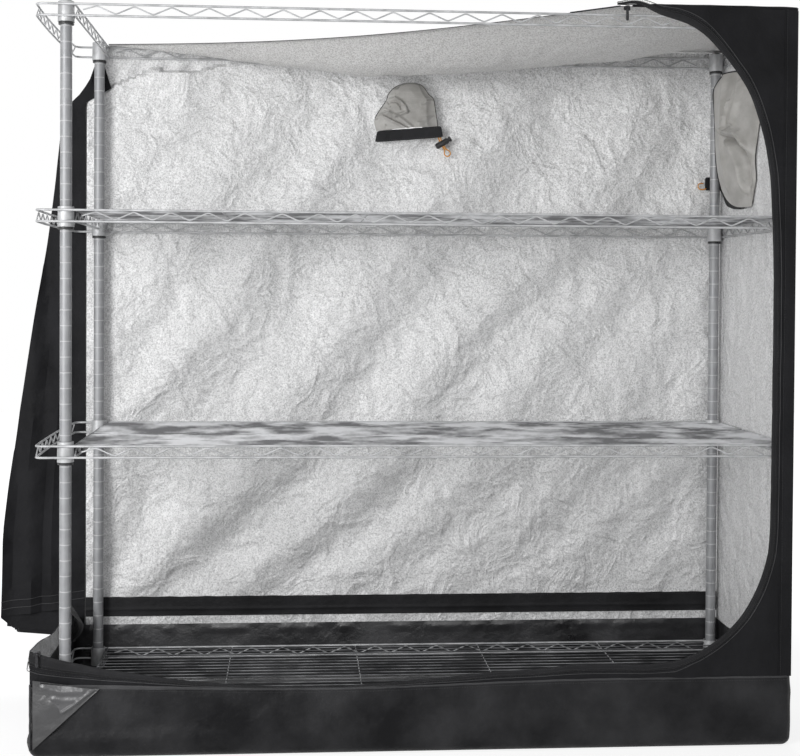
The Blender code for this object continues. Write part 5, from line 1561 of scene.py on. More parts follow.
def build_zip_tape(side, front):
    """Zip tape with its coil along the opening's edge, sewn down under a thin binding."""
    rows = tape_rows(side, front)

    def surface(u, v):
        point, out, width, on_side = spot_on(rows, u)
        puff = 0.0012 * math.sin(math.pi * v) ** 0.6 * (1 + 0.6 * noise.noise(point * 22))
        return off_cloth(point + out * width * TAPE_SHARE * v, on_side, FIT_GAP + puff)

    mesh = cloth(surface, len(rows) - 1, 8, TAPE_THICKNESS * 0.6, front_or_side, [TAPE_CLOTH, TAPE_CLOTH])
    stand_in("zip_tape", mesh, ITS_OWN, ["zip_tape_front"])
    coil = along_tape(rows, TAPE_SHARE + 0.07, 0.0003)
    sewn_on("zip_coil", dots(coil, COIL_SPACING, COIL_TOOTH_SIZE, PLASTIC), PLASTIC)
    border = [off_cloth(point + out * (width + 0.0006), on_side, FIT_GAP + 0.0004)
              for point, out, width, on_side in rows]
    sewn_on("zip_tape_binding", tube(evenly(border, 0.004), TAPE_BINDING_DIAMETER, 8), BINDING)
    seams = [along_tape(rows, 0.12, 0.0014), along_tape(rows, TAPE_SHARE - 0.1, 0.0014),
             along_tape(rows, 0.9, 0.0002)]
    sewn_on("zip_tape_stitches", stitching(seams), BINDING)


def build_seam_binding():
    """The bound seam round the top of the pan, and the stitching under it and down the column."""

    def ribbon(u, v):
        place, out = pan_plan(u)
        wide = PAN_RIBBON_WIDTH
        if out.y < -0.5:
            wide += PAN_RIBBON_WIDENING * smooth_step((-0.25 - place.x) / 0.3)
        wave = 0.0008 * noise.noise(Vector((place.x * 30, place.y * 30, 5)))
        puff = CLOTH + 0.0006 + 0.0008 * math.sin(math.pi * v)
        return Vector((place.x, place.y, pan_top(place, out) + wave + wide * (v - 0.5))) + out * puff

    def away(point):
        return Vector((point.x, point.y * 3, 0))

    mesh = cloth(ribbon, PAN_STEPS, 4, 0.0006, away, [BINDING, BINDING], loop=True)
    sewn_on("pan_seam_binding", mesh, ITS_OWN)
    below_seam = []
    for index in range(PAN_STEPS):
        place, out = pan_plan(index / PAN_STEPS)
        top = pan_top(place, out)
        wave = 0.0007 * noise.noise(Vector((place.x * 30, place.y * 30, 5)))
        spot = Vector((place.x, place.y, top + wave))
        push = max(0.0, pan_push(place, top - 0.005, top))
        below_seam.append(spot + out * (CLOTH + push + 0.0002) - Vector((0, 0, 0.005)))
    column = INSIDE_RIGHT - COLUMN_SEAM_INSET
    heights = [SEAM_HEIGHT + (COVER_TOP - SEAM_HEIGHT) * index / 60 for index in range(61)]
    upright = [off_cloth(Vector((column, FRONT_Y, height)), False, 0.0005) for height in heights]
    sewn_on("column_seam", tube(evenly(upright, 0.006), COLUMN_SEAM_DIAMETER, 8), OXFORD)
    beside = [point + Vector((0.003, -0.0002, 0)) for point in upright]
    sewn_on("cover_stitches", stitching([below_seam + below_seam[:1], beside]), BINDING)


def build_corner_gusset():
    """The folded cloth at the pan's front left corner: a gusset over its front wall, a shiny flap that hangs
    on the gusset, lighter than the pan's cloth as a painted highlight, and the corner's bound edge."""
    top_left, top_right, foot = (Vector(point) for point in GUSSET_CORNERS)

    def lift(u, v):
        bulge = 0.0050 * math.sin(math.pi * u ** 0.7) * math.exp(-((v - 0.42) / 0.22) ** 2)
        return CLOTH + 0.0040 + bulge + max(0.0, 0.0040 * v ** 2 * (1 - u) ** 0.4 * (1 - 0.5 * u))

    def surface(u, v):
        place = top_left.lerp(top_right, u).lerp(foot.lerp(top_right, u), v)
        place.y -= lift(u, v) + 0.0010 * noise.noise(place * 60) * v
        return place

    mesh = cloth(surface, 40, 30, CLOTH * 0.7, facing(0, -1, 0), [OXFORD, PAN_CLOTH])
    sewn_on("corner_gusset", mesh, ITS_OWN)
    left = fine_line([Vector((x, 0, z)) for x, z in FLAP_LEFT], 8, 0.001)
    right = fine_line([Vector((x, 0, z)) for x, z in FLAP_RIGHT], 8, 0.001)

    def flap(u, v):
        place = spot_on(left, v).lerp(spot_on(right, v), u)
        fold = creased(Vector((place.x, place.z)), FLAP_CREASES)
        tilt = 0.0070 * (1 - v) * math.sin(math.pi * (0.15 + 0.8 * u))
        return Vector((place.x, FRONT_Y - CLOTH - 0.0098 + tilt * 0.3 - fold, place.z))

    # The flap's lighter cloth is a painted highlight
    mesh = cloth(flap, 60, 40, CLOTH * 0.5, facing(0, -1, 0), [GUSSET_HIGHLIGHT_CLOTH, GUSSET_HIGHLIGHT_CLOTH])
    sewn_on("gusset_flap", mesh, ITS_OWN)
    x = INSIDE_LEFT - CLOTH + 0.0012
    y = FRONT_Y - CLOTH - 0.0008
    edge = [Vector((x, y, 0.016 + 0.106 * index / 40)) for index in range(41)]
    wavy = [point + Vector((0.0005 * noise.noise(point * 90), 0, 0)) for point in edge]
    sewn_on("corner_binding", tube(evenly(wavy, 0.003), CORNER_BINDING_DIAMETER, 10), BINDING)


def build_curled_tape():
    """The zip tape's loose end, curling in over the left side behind the front post."""
    near = fine_line(CURL_NEAR, 10, 0.003)
    far = fine_line(CURL_FAR, 10, 0.003)

    def surface(u, v):
        place = spot_on(near, u).lerp(spot_on(far, u), v)
        place.x += 0.004 * math.sin(9 * u + 5 * v) * v - 0.003 * math.sin(math.pi * v)
        return place

    mesh = cloth(surface, 44, 16, TAPE_THICKNESS * 0.6, facing(1, -0.4, 0), [TAPE_CLOTH, BINDING])
    sewn_on("curled_tape_end", mesh, ITS_OWN)
    sewn_on("curled_tape_binding", tube(near, CURL_BINDING_DIAMETER, 8), BINDING)


def build_rear_band():
    """The black band sewn along the rear wall above the pan, softly folded along its lower half."""
    low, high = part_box("rear_band")

    def surface(u, v):
        x = low[0] + (high[0] - low[0]) * u
        fold = math.exp(-((v - 0.36 - 0.05 * noise.noise(Vector((x * 5, 1, 1)))) / 0.07) ** 2)
        wave = noise.noise(Vector((x * 13, v * 1.3, 2)))
        edge = 0.0011 * noise.noise(Vector((x * 40, 4, 4))) * (v > 0.99)
        depth = 0.0016 * fold + 0.0012 * max(0.0, wave) * math.sin(math.pi * v)
        return Vector((x, high[1] - CLOTH - depth, low[2] + (high[2] - low[2]) * v + edge))

    mesh = cloth(surface, 420, 22, CLOTH * 0.5, facing(0, 1, 0), [TAPE_CLOTH, TAPE_CLOTH])
    stand_in("rear_wall_band", mesh, ITS_OWN, ["rear_band"])
    rows = []
    for height in (low[2] + 0.003, high[2] - 0.003):
        rows.append([Vector((low[0] + (high[0] - low[0]) * index / 200, high[1] - CLOTH - 0.0010, height))
                     for index in range(201)])
    sewn_on("rear_band_stitches", stitching(rows, size=BAND_STITCH_SIZE), BINDING)


def build_top_piping():
    """The piped seam round the roof's front and right edges, with a loose rounded corner."""
    low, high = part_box("top_piping")
    radius = PIPING_DIAMETER / 2
    height = high[2] - radius
    x = high[0] - radius
    y = low[1] + radius
    corner = [(low[0], y, height - 0.001), (low[0] + 0.05, y, height), (x - 0.05, y, height),
              (x - 0.004, y, height - 0.0006), (x, y + 0.004, height - 0.0008), (x, y + 0.05, height),
              (x, high[1] - 0.05, height), (x, high[1], height - 0.001)]
    line = fine_line(corner, 30, 0.004)
    for point in line:
        point.z += 0.0006 * noise.noise(point * 24)
    stand_in("piped_roof_seam", tube(line, PIPING_DIAMETER, 12), OXFORD, ["top_piping"])


def rear_fold(x, height):
    """Depth of the rear wall's broad folds, which lean from the upper right to the lower left."""
    first, second, third = (along(line, height) for line in rear_fold_lines)
    if x < first:
        phase = 1 - (first - x) / OUTER_FOLD_PITCH
    elif x < second:
        phase = 1 + (x - first) / (second - first)
    elif x < third:
        phase = 2 + (x - second) / (third - second)
    else:
        phase = 3 + (x - third) / OUTER_FOLD_PITCH
    wave = 0.5 + 0.5 * math.sin(2 * math.pi * phase)
    small = noise.noise(Vector((phase * 3.1, height * 1.7 + x, 4.0)))
    return FOLD_DEPTH * along(rear_fold_heights, phase) * wave + SMALL_FOLD_DEPTH * (small + 1)


def build_rear_wall():
    """The rear wall: foil inside, black outside, hung in broad diagonal folds with many small creases."""
    base = SEAM_HEIGHT + FIT_GAP

    def surface(u, v):
        rough_height = base + (COVER_TOP - base) * v
        x = rear_left_edge(rough_height)
        x += (INSIDE_RIGHT - FIT_GAP - x) * u
        height = base + (roof_rear_height(x) - FIT_GAP - base) * v
        from_port = math.hypot(x - REAR_PORT[0], height - REAR_PORT[1])
        calm = smooth_step(from_port / REAR_PORT_RADIUS - 0.9)
        slant = Vector((x + height * 0.45, 0, height - x * 0.25))
        crease = ridge(slant, 9, 1) + 0.7 * ridge(slant, 19, 5, power=4)
        above_crease = height - PACKED_CREASE_HEIGHT - 0.004 * math.sin(9 * x)
        across = math.exp(-(above_crease / PACKED_CREASE_WIDTH) ** 2)
        upright = math.exp(-((x - PACKED_CREASE_X) / PACKED_CREASE_WIDTH) ** 2)
        upright *= smooth_step((0.45 - height) / 0.1)
        border = min(1.0, 9 * v, 12 * (1 - v), 14 * (1 - u), 10 * u + 0.1)
        if x < POCKET_RIGHT:
            above = height - along(POCKET_LINE, x)
            top = roof_rear_height(x) - along(POCKET_LINE, x)
            step = smooth_step(above / 0.003) * smooth_step((POCKET_RIGHT - x) / 0.08)
            folds = 0.5 + 0.5 * math.sin((x * 1.6 - height) * 90)
            calm *= 1 - step
            pocket = step * (POCKET_DEPTH * max(0.0, 1 - above / top) + 0.012 * folds * (1 - above / top))
        else:
            pocket = 0
        depth = pocket + rear_fold(x, height) * calm + CREASE_DEPTH * (crease * calm + across + 0.7 * upright)
        return Vector((x, REAR_Y + depth * border, height))

    mesh = cloth(surface, 210, 180, CLOTH, facing(0, 1, 0), [FOIL, OXFORD],
                 hole=round_hole(REAR_PORT, REAR_PORT_RADIUS, 0, 2))
    item = stand_in("rear_wall_cloth", mesh, ITS_OWN, ["wall_rear"])


def build_right_wall():
    """The right wall: foil inside, black outside, nearly flat."""
    base = SEAM_HEIGHT + FIT_GAP
    low = FRONT_Y + FIT_GAP
    high = REAR_Y - FIT_GAP

    def surface(u, v):
        y = low + (high - low) * u
        height = base + (COVER_TOP - FIT_GAP - base) * v
        ripple = math.sin(math.pi * 5 * u + 2 * v) ** 2 * math.sin(math.pi * u) * math.sin(math.pi * v)
        crease = ridge((0, y, height * 0.6), 17, 4)
        border = min(1.0, 8 * v, 12 * (1 - v), 8 * u, 8 * (1 - u))
        return Vector((INSIDE_RIGHT + SIDE_FOLD_DEPTH * (ripple + crease * border), y, height))

    mesh = cloth(surface, 80, 150, CLOTH, facing(1, 0, 0), [FOIL, OXFORD],
                 hole=round_hole(SIDE_PORT, SIDE_PORT_RADIUS, 1, 2))
    item = stand_in("right_wall_cloth", mesh, ITS_OWN, ["wall_right"])


def roof_free_edge(share):
    """The roof's unzipped edge runs from the front to the rear left corner."""
    open_x = INSIDE_RIGHT - ROOF_OPEN_INSET
    left_x = REAR_WALL_LEFT + ROOF_LEFT_INSET
    x = left_x + (INSIDE_RIGHT - left_x) * share
    reach = min(1.0, (x - left_x) / (open_x - left_x))
    start = REAR_Y - ROOF_END_WIDTH
    return x, start - (start - FRONT_Y) * reach, reach


def roof_surface(u, v):
    """Roof cloth from its front or free edge (v = 0) to the rear wall (v = 1), hung between two lips."""
    x, y_edge, reach = roof_free_edge(u)
    span = REAR_Y - y_edge
    lip = min(ROOF_LIP, span / 3)
    row = v * 9
    inner = min(1.0, max(0.0, (row - 1) / 7))
    y = y_edge + lip * min(1.0, row) + (span - 2 * lip) * inner + lip * max(0.0, row - 8)
    edge_height = ROOF_LEFT_HEIGHT + (COVER_TOP - ROOF_LEFT_HEIGHT) * reach
    if reach < 1:
        edge_height -= ROOF_EDGE_SAG * math.sin(math.pi * reach)
    height = edge_height + (roof_rear_height(x) - edge_height) * (y - y_edge) / span
    height -= ROOF_SAG * along(roof_sag_shares, u) * math.sin(math.pi * inner) ** ROOF_SAG_ROUNDNESS
    crease = ridge((x, y, 0), 15, 9)
    height -= 0.003 * crease * math.sin(math.pi * inner) * math.sin(math.pi * u)
    return Vector((x, y, height))


def roof_tape(edge):
    """Zip tape laid on the roof's outer face, along the front end of its free edge."""
    back = Vector((0.35, 0.94, 0))
    half = Vector((0, 0, TAPE_THICKNESS / 2))
    stations = []
    for point in edge:
        room = min(TAPE_WIDTH * 0.6, max(0.004, (REAR_Y - point.y) * 0.8))
        stations.append((point + back * room / 2, back * room / 2, half))
    return flat_tube(stations, sides=12)


def build_roof():
    """The roof's foil cloth, with a stretch of zip tape on the front end of its free edge."""
    mesh = cloth(roof_surface, ROOF_STEPS, 63, CLOTH, facing(0, 0, 1), [ROOF_FOIL, OXFORD])
    item = stand_in("roof_cloth", mesh, ITS_OWN, ["roof"])
    raised = Vector((0, -0.0004, CLOTH + 0.0008))
    edge = [roof_surface(step / ROOF_STEPS, 0) + raised for step in range(*ROOF_TAPE_STEPS)]
    sewn_on("roof_zip_tape", roof_tape(edge), TAPE_CLOTH)


# Door

def near_wave(x, share, right):
    """How far the door's near layer swings out at x; it hangs free a little left of its right edge."""
    free = smooth_step((right - 0.012 - x) / 0.03)
    uneven = 2 * noise.noise(Vector((x * 9, share * 3, 1)))
    swing = math.sin(2 * math.pi * x / DOOR_DRAPE + 1.6 * share + uneven)
    return -DOOR_DRAPE_DEPTH * free * (0.5 + 0.5 * swing) * smooth_step(share * 3 + 0.2)


def door_line(share):
    """One level of the gathered door, seen from above, with rounded pleats and a wavy near layer."""
    height = DOOR_TOP - (DOOR_TOP - DOOR_BOTTOM) * share
    width = DOOR_WIDTH * along(door_width_shares, share)
    right = rear_left_edge(height) - 2 * FIT_GAP - DOOR_WAVE
    inset = DOOR_PLEAT_SPACING / 2
    line = []
    for pleat in range(DOOR_PLEATS):
        y = REAR_Y + DOOR_FIRST + DOOR_PLEAT_SPACING * pleat
        uneven = abs(noise.noise(Vector((pleat * 1.7, share * 2, 3))))
        narrow = DOOR_INNER_SHARE + (1 - DOOR_INNER_SHARE) * uneven
        near = pleat == 0
        reach = width * (1.0 if near or pleat == DOOR_PLEATS - 1 else narrow)
        places = [right - reach * part for part in DOOR_PARTS]
        places = [right - inset * 0.5] + places + [right - reach + inset * 0.5]
        layer = [Vector((x, y + (near_wave(x, share, right) if near else 0.0), height)) for x in places]
        line += reversed(layer) if pleat % 2 else layer
    return line


def build_door():
    """The wrap-round door, gathered in pleats behind the rear left post, with a wide hem."""
    rows = 72
    lines = [door_line(row / rows) for row in range(rows + 1)]
    columns = len(lines[0]) - 1

    def surface(u, v):
        index = round(u * columns)
        point = lines[round(v * rows)][index].copy()
        pleat = index // (len(DOOR_PARTS) + 2)
        drop = DOOR_BACK_DROP * smooth_step(pleat / 3) - DOOR_NEAR_LIFT * max(0.0, 1 - pleat)
        near_left = (INSIDE_LEFT - point.x) / DOOR_WIDTH
        if pleat == 0:
            drop -= DOOR_HEM_SLOPE * (1 - near_left)
        else:
            drop += DOOR_BACK_SLOPE * (1 - near_left)
        point.z -= drop * smooth_step((v - 0.6) / 0.4)
        point.y += 0.0006 * noise.noise(point * 18)
        return point

    mesh = cloth(surface, columns, rows, DOOR_CLOTH, facing(0, -1, 0), [OXFORD, OXFORD])
    item = stand_in("gathered_door", mesh, ITS_OWN, ["door_panel"])
    hem = []
    raised = Vector((0, DOOR_CLOTH + 0.0009, 0))
    for share in DOOR_HEM_LINES:
        row = [surface(index / columns, share) - raised for index in range(len(DOOR_PARTS) + 2)]
        hem.append(tube(fine_line(row, 6, 0.004), HEM_SEAM_DIAMETER, 8))
    finish_piece("door_hem_seams", joined(hem), BINDING, body_name("door_panel"))


def build_door_root():
    """The fold of cloth at the rear wall's upper left, where the door is sewn to the cover."""
    low_line, high_line = DOOR_ROOT

    def root(u, v):
        low = Vector(low_line[0]).lerp(Vector(low_line[1]), u)
        high = Vector(high_line[0]).lerp(Vector(high_line[1]), u)
        place = low.lerp(high, v)
        place.y -= 0.0012 * math.sin(math.pi * v) * (0.5 + 0.5 * math.sin(11 * u + 4 * v))
        return place

    mesh = cloth(root, 24, 24, DOOR_CLOTH, facing(0, -1, 0), [OXFORD, OXFORD])
    sewn_on("door_root_fold", mesh, ITS_OWN)


# Vent sleeves

def build_rear_sleeve():
    """The rear port's nylon sleeve, collapsed over the port, with its bound edge."""
    left_side = fine_line(REAR_SLEEVE_LEFT, 10, 0.002)
    right_side = fine_line(REAR_SLEEVE_RIGHT, 10, 0.002)

    def surface(u, v):
        spot = spot_on(left_side, v).lerp(spot_on(right_side, v), u)
        rim = min(u, 1 - u, 1 - v) * 6
        dome = REAR_SLEEVE_BULGE * math.sin(math.pi * u) ** 0.6
        dome *= 0.35 + 0.65 * math.sin(math.pi * (0.5 + 0.5 * v))
        folds = creased(spot, REAR_SLEEVE_CREASES)
        folds += 0.0008 * noise.noise(Vector((spot.x * 60, 0, spot.y * 60)))
        depth = 0.0018 + (dome + folds) * min(1.0, rim)
        return Vector((spot.x, REAR_Y - 0.0004 - max(0.0012, depth), spot.y))

    mesh = cloth(surface, 130, 110, 0.0005, facing(0, -1, 0), [GREY_NYLON, GREY_NYLON])
    item = stand_in("rear_vent_sleeve", mesh, ITS_OWN, ["rear_sleeve"], sharp=60)
    outline = [surface(0, v / 40) for v in range(8, 41)] + [surface(1, 1 - v / 40) for v in range(1, 41)]
    sewn_on("rear_sleeve_binding", tube(evenly(outline, 0.002), REAR_SLEEVE_BINDING_DIAMETER, 8), OXFORD)


def build_rear_casing():
    """The drawcord's casing across the rear sleeve's mouth, with its two rows of stitches."""
    low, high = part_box("rear_sleeve_casing")
    tall = (high[2] - low[2] - BAND_RISE) / 2
    thick = (high[1] - low[1]) / 2
    middle = (low[1] + high[1]) / 2
    count = 30
    stations = []
    for index in range(count + 1):
        share = index / count
        wave = 0.0007 * noise.noise(Vector((share * 9, 3, 1)))
        end = 0.85 if index in (0, count) else 1.0
        centre = (low[0] + (high[0] - low[0]) * share, middle, low[2] + tall + BAND_RISE * share + wave)
        stations.append((centre, (0.0016 * (1 - 2 * share), 0, tall * end), (0, thick * end, 0)))
    stand_in("rear_casing", flat_tube(stations, 28, 0.35), TAPE_CLOTH, ["rear_sleeve_casing"])
    rows = []
    for side in (-0.8, 0.8):
        outwards = Vector((0, -thick - 0.0001, tall * side))
        rows.append([Vector(station[0]) + outwards for station in stations])
    sewn_on("rear_casing_stitches", stitching(rows, CASING_STITCH_SPACING, CASING_STITCH_SIZE), BINDING)


SIDE_SLEEVE_LINES = []
for corner_line in (SIDE_SLEEVE_FRONT, SIDE_SLEEVE_REAR):
    spots = fine_line(corner_line, 12, 0.0005)
    SIDE_SLEEVE_LINES.append([spot_on(spots, row / SIDE_SLEEVE_ROWS) for row in range(SIDE_SLEEVE_ROWS + 1)])


def side_sleeve_point(u, v):
    """The side sleeve from its front edge on the wall (u = 0) to its rear edge before the post (u = 1)."""
    front_line, rear_line = SIDE_SLEEVE_LINES
    place = spot_on(front_line, v).lerp(spot_on(rear_line, v), u)
    arch = math.sin(math.pi * u)
    place.z += 0.012 * arch * v ** 2 - 0.015 * arch * (1 - v) ** 2
    depth = SIDE_SLEEVE_BULGE * arch ** 0.8 * (0.5 + 0.5 * math.sin(math.pi * v))
    folds = creased(Vector((place.y, place.z)), SIDE_SLEEVE_CREASES)
    depth += folds * min(1.0, 7 * u) * min(1.0, 7 * (1 - u))
    place.x = min(place.x - depth, INSIDE_RIGHT - 0.0008)
    return place


def build_side_sleeve():
    """The side port's nylon sleeve, hanging from the port, with its bound edge."""
    mesh = cloth(side_sleeve_point, 110, SIDE_SLEEVE_ROWS, 0.0005, facing(-1, -0.6, 0),
                 [GREY_NYLON, GREY_NYLON])
    item = stand_in("side_vent_sleeve", mesh, ITS_OWN, ["side_sleeve"], sharp=60)
    off_edge = Vector((-0.0004, -0.0004, 0))
    rim = [side_sleeve_point(1, row / SIDE_SLEEVE_ROWS) + off_edge for row in range(SIDE_SLEEVE_ROWS + 1)]
    wavy = [point + Vector((0.0009 * noise.noise(point * 60), 0, 0)) for point in rim]
    top = [side_sleeve_point(1 - u / 60, 1) for u in range(1, 50)]
    sewn_on("side_sleeve_binding", tube(evenly(wavy + top, 0.002), SIDE_SLEEVE_BINDING_DIAMETER, 8), OXFORD)


def build_side_casing():
    """The drawcord's casing round the side sleeve's mouth and on to the post, stitched at its front."""
    line = fine_line(SIDE_CASING_LINE, 10, 0.003)
    stations = []
    for index, point in enumerate(line):
        tall = 0.0115 + 0.0022 * noise.noise(point * 30)
        end = 0.8 if index in (0, len(line) - 1) else 1.0
        across = heading(line, index).cross(Vector((0, 0, 1)))
        stations.append((point, Vector((0, 0, tall * end)), across * 0.0007))
    stand_in("side_casing", flat_tube(stations, 24, 0.35), TAPE_CLOTH, ["side_sleeve_casing"])
    row = [point - Vector((0.0010, 0.0010, 0.008)) for point in line[:len(line) // 2]]
    sewn_on("side_casing_stitches", dots(row, CASING_STITCH_SPACING, CASING_STITCH_SIZE, BINDING), BINDING)


# Cord lock and zip sliders

def build_lock():
    """The barrel cord lock with its slot, grip rings and sprung plunger."""
    tilt = math.radians(LOCK_TILT_DEGREES)
    turn = Matrix.Rotation(math.pi / 2 - tilt, 4, "Y")
    centre = Vector(LOCK_CENTRE)
    half = LOCK_LENGTH / 2
    radius = LOCK_DIAMETER / 2
    bore = LOCK_BORE_DIAMETER / 2
    rings = [(radius, half - 0.0012)]
    for index in range(4):
        height = half - 0.003 - index * 0.0016
        rings += [(radius, height), (radius * 0.93, height - 0.0003), (radius * 0.93, height - 0.0008),
                  (radius, height - 0.0011)]
    floor = half - LOCK_BORE_DEPTH
    profile = [(0, floor), (bore, floor), (bore, half), (radius - 0.0010, half)]
    profile += rings + [(radius, -half + 0.002), (radius * 0.75, -half), (0, -half)]
    barrel = turned(profile, steps=36, closed=False)
    barrel.transform(Matrix.Translation(centre) @ turn)
    slot = closed_bar([Vector((0, 0, -LOCK_DIAMETER)), Vector((0, 0, 0)), Vector((0, 0, LOCK_DIAMETER))],
                      (LOCK_SLOT_LENGTH / 2, 0, 0), (0, LOCK_SLOT_WIDTH / 2, 0), 0.6)
    slot.transform(Matrix.Translation(centre) @ Matrix.Rotation(-tilt, 4, "Y"))
    stand_in("barrel_lock", cut(barrel, [slot]), PLASTIC, ["cord_lock"], sharp=35)
    low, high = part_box("cord_lock_plunger")
    axis = Vector((math.cos(tilt), 0, math.sin(tilt)))
    reach = half + PLUNGER_TRAVEL + FIT_GAP
    stem = bore - FIT_GAP
    head = PLUNGER_HEAD_DIAMETER / 2
    start = half - LOCK_BORE_DEPTH + PLUNGER_TRAVEL + FIT_GAP
    plunger = turned([(0, start), (stem, start), (stem, reach), (head, reach), (head, reach + 0.0028),
                      (head * 0.85, reach + 0.0038), (head * 0.4, reach + PLUNGER_HEAD_LENGTH),
                      (0, reach + PLUNGER_HEAD_LENGTH)], steps=32, closed=False)
    plunger.transform(Matrix.Translation(centre) @ turn)
    stand_in("lock_plunger", plunger, PLASTIC, ["cord_lock_plunger"])


def build_slider(name):
    """A zip slider: two tapered plates, a bridge for the pull, and the pull hanging from it."""
    low, high = (Vector(corner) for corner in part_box(name + "_slider"))
    pull_low, pull_high = (Vector(corner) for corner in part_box(name + "_pull"))
    middle = (low + high) / 2
    half_x = (high.x - low.x) / 2
    half_z = (high.z - low.z) / 2
    plate_y = high.y - 0.0012
    stations = []
    for share, spread in ((-1, 0.55), (-0.8, 0.75), (-0.2, 0.95), (0.4, 1.0), (0.85, 0.9), (1, 0.7)):
        centre = (middle.x + half_x * share, plate_y, middle.z)
        stations.append((centre, (0, 0, half_z * spread), (0, 0.0011, 0)))
    plate = flat_tube(stations, 20, 0.6)
    pin = pull_high.y - (pull_high.y - pull_low.y) / 2
    arch = [(middle.x + half_x * share, y, middle.z) for share, y in (
        (-0.75, plate_y), (-0.55, pin - 0.0004), (0, low.y + 0.0006), (0.55, pin - 0.0004), (0.75, plate_y))]
    bridge = tube(fine_line(arch, 8, 0.0007), 0.0014, 10)
    stand_in(name + "_slider_body", joined([plate, bridge]), ZIP_METAL, [name + "_slider"])
    wide = (pull_high.x - pull_low.x) / 2
    length = pull_high.z - pull_low.z
    stations = []
    for share, spread in ((0.0, 0.5), (0.04, 0.8), (0.12, 1.0), (0.6, 0.9), (0.85, 0.62), (0.95, 0.5),
                          (1.0, 0.3)):
        centre = (middle.x, pin, pull_low.z + length * share)
        stations.append((centre, (wide * spread, 0, 0), (0, 0.0006, 0)))
    tab = flat_tube(stations, 20, 0.7)
    hole = tube([Vector((middle.x, pin + 0.003 * side, pull_low.z + length * 0.28)) for side in (-1, 0, 1)],
                wide * 0.9, 16)
    eye = tube([Vector((middle.x + wide * side, pin, pull_high.z - 0.0012)) for side in (-0.5, 0, 0.5)],
               0.0022, 14)
    stand_in(name + "_pull_tab", joined([cut(tab, [hole]), eye]), ZIP_METAL, [name + "_pull"])


build_cords()
build_posts()
build_caps()
build_feet()
build_sleeves()
build_shelves()
build_pan()
zip_side, zip_front = build_front_cloth()
build_zip_tape(zip_side, zip_front)
build_seam_binding()
build_corner_gusset()
build_curled_tape()
build_rear_wall()
build_rear_band()
build_right_wall()
build_roof()
build_top_piping()
build_door()
build_door_root()
build_rear_sleeve()
build_rear_casing()
build_side_sleeve()
build_side_casing()
build_lock()
build_slider("low_zip")
build_slider("top_zip")


# Floor, backdrop and lights

WORLD_STRENGTH = 0.28
FLOOR_REACH = 6.0
# Distances from the object's middle between which the floor fades into the surround
FLOOR_FADE = (0.9, 1.6)


def seen_rays(tree):
    """1 for the rays that show the white surround: straight to the camera, mirrored or passed through."""
    rays = tree.nodes.new("ShaderNodeLightPath")
    total = rays.outputs["Is Camera Ray"]
    for name in ("Is Glossy Ray", "Is Transmission Ray"):
        more = tree.nodes.new("ShaderNodeMath")
        more.operation = "MAXIMUM"
        tree.links.new(total, more.inputs[0])
        tree.links.new(rays.outputs[name], more.inputs[1])
        total = more.outputs["Value"]
    return total.node


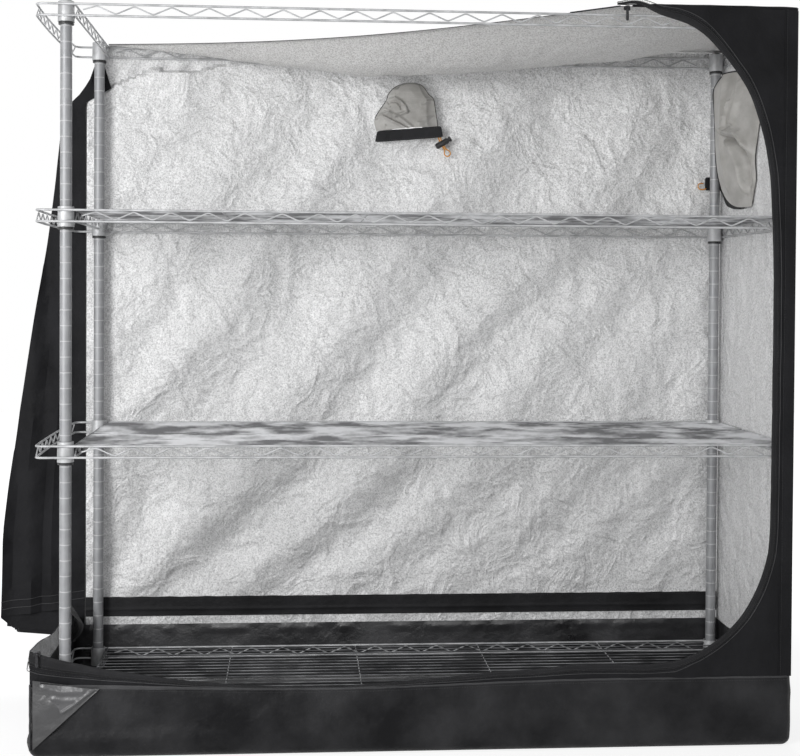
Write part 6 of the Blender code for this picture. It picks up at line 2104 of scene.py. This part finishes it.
def build_stage():
    """A pale floor: it catches the object's shadow, and the camera sees it fade into a white surround."""
    material = bpy.data.materials.new("pale_floor")
    material.use_nodes = True
    shader = shader_of(material)
    shader.inputs["Base Color"].default_value = (0.86, 0.86, 0.86, 1)
    shader.inputs["Roughness"].default_value = 0.7
    matt = node(material, "ShaderNodeBsdfDiffuse", Color=(0.42, 0.42, 0.42, 1))
    place = node(material, "ShaderNodeTexCoord")
    distance = node(material, "ShaderNodeVectorMath")
    distance.operation = "LENGTH"
    wire_up(material, place, "Object", distance, 0)
    start, end = FLOOR_FADE
    glow = value_range(material, distance, 0.80, 1.0, "Value", start, end)
    white = node(material, "ShaderNodeEmission", Color=(1, 1, 1, 1))
    wire_up(material, glow, "Result", white, "Strength")
    lit = node(material, "ShaderNodeAddShader")
    wire_up(material, matt, "BSDF", lit, 0)
    wire_up(material, white, "Emission", lit, 1)
    seen = node(material, "ShaderNodeMixShader")
    wire_up(material, seen_rays(material.node_tree), 0, seen, "Fac")
    wire_up(material, shader, "BSDF", seen, 1)
    wire_up(material, lit, "Shader", seen, 2)
    wire_up(material, seen, "Shader", material.node_tree.nodes["Material Output"], "Surface")
    data = bpy.data.meshes.new("studio_floor")
    corners = [(x * FLOOR_REACH, y * FLOOR_REACH, 0) for x, y in ((-1, -1), (1, -1), (1, 1), (-1, 1))]
    data.from_pydata(corners, [], [(0, 1, 2, 3)])
    data.materials.append(material)
    link(bpy.data.objects.new("studio_floor", data))


def build_world():
    """A dim grey surround for the light, and a white one where it is seen."""
    world = bpy.data.worlds.new("studio")
    world.use_nodes = True
    tree = world.node_tree
    background = tree.nodes["Background"]
    background.inputs["Color"].default_value = (0.62, 0.63, 0.65, 1)
    background.inputs["Strength"].default_value = WORLD_STRENGTH
    white = tree.nodes.new("ShaderNodeBackground")
    white.inputs["Color"].default_value = (1, 1, 1, 1)
    mix = tree.nodes.new("ShaderNodeMixShader")
    tree.links.new(seen_rays(tree).outputs["Value"], mix.inputs["Fac"])
    tree.links.new(background.outputs["Background"], mix.inputs[1])
    tree.links.new(white.outputs["Background"], mix.inputs[2])
    tree.links.new(mix.outputs["Shader"], tree.nodes["World Output"].inputs["Surface"])
    bpy.context.scene.world = world


def add_light(name, place, target, size, power):
    """A rectangular softbox, turned towards its target; its power is in watts."""
    data = bpy.data.lights.new(name, "AREA")
    data.shape = "RECTANGLE"
    data.size = size[0]
    data.size_y = size[1]
    data.energy = power
    lamp = link(bpy.data.objects.new(name, data))
    lamp.location = place
    lamp.rotation_euler = (Vector(target) - Vector(place)).to_track_quat("-Z", "Y").to_euler()


build_stage()
build_world()
add_light("key_softbox", place=(-1.8, -2.1, 1.1), target=(0.2, 0.1, 0.35), size=(0.9, 0.9), power=43)
add_light("front_softbox", place=(-0.4, -3.6, 1.3), target=(0, 0, 0.5), size=(2.4, 1.8), power=13)
add_light("rear_softbox", place=(0.4, 2.6, 2.2), target=(0, 0, 0.8), size=(1.8, 1.2), power=30)

bpy.context.scene.view_settings.view_transform = "Standard"
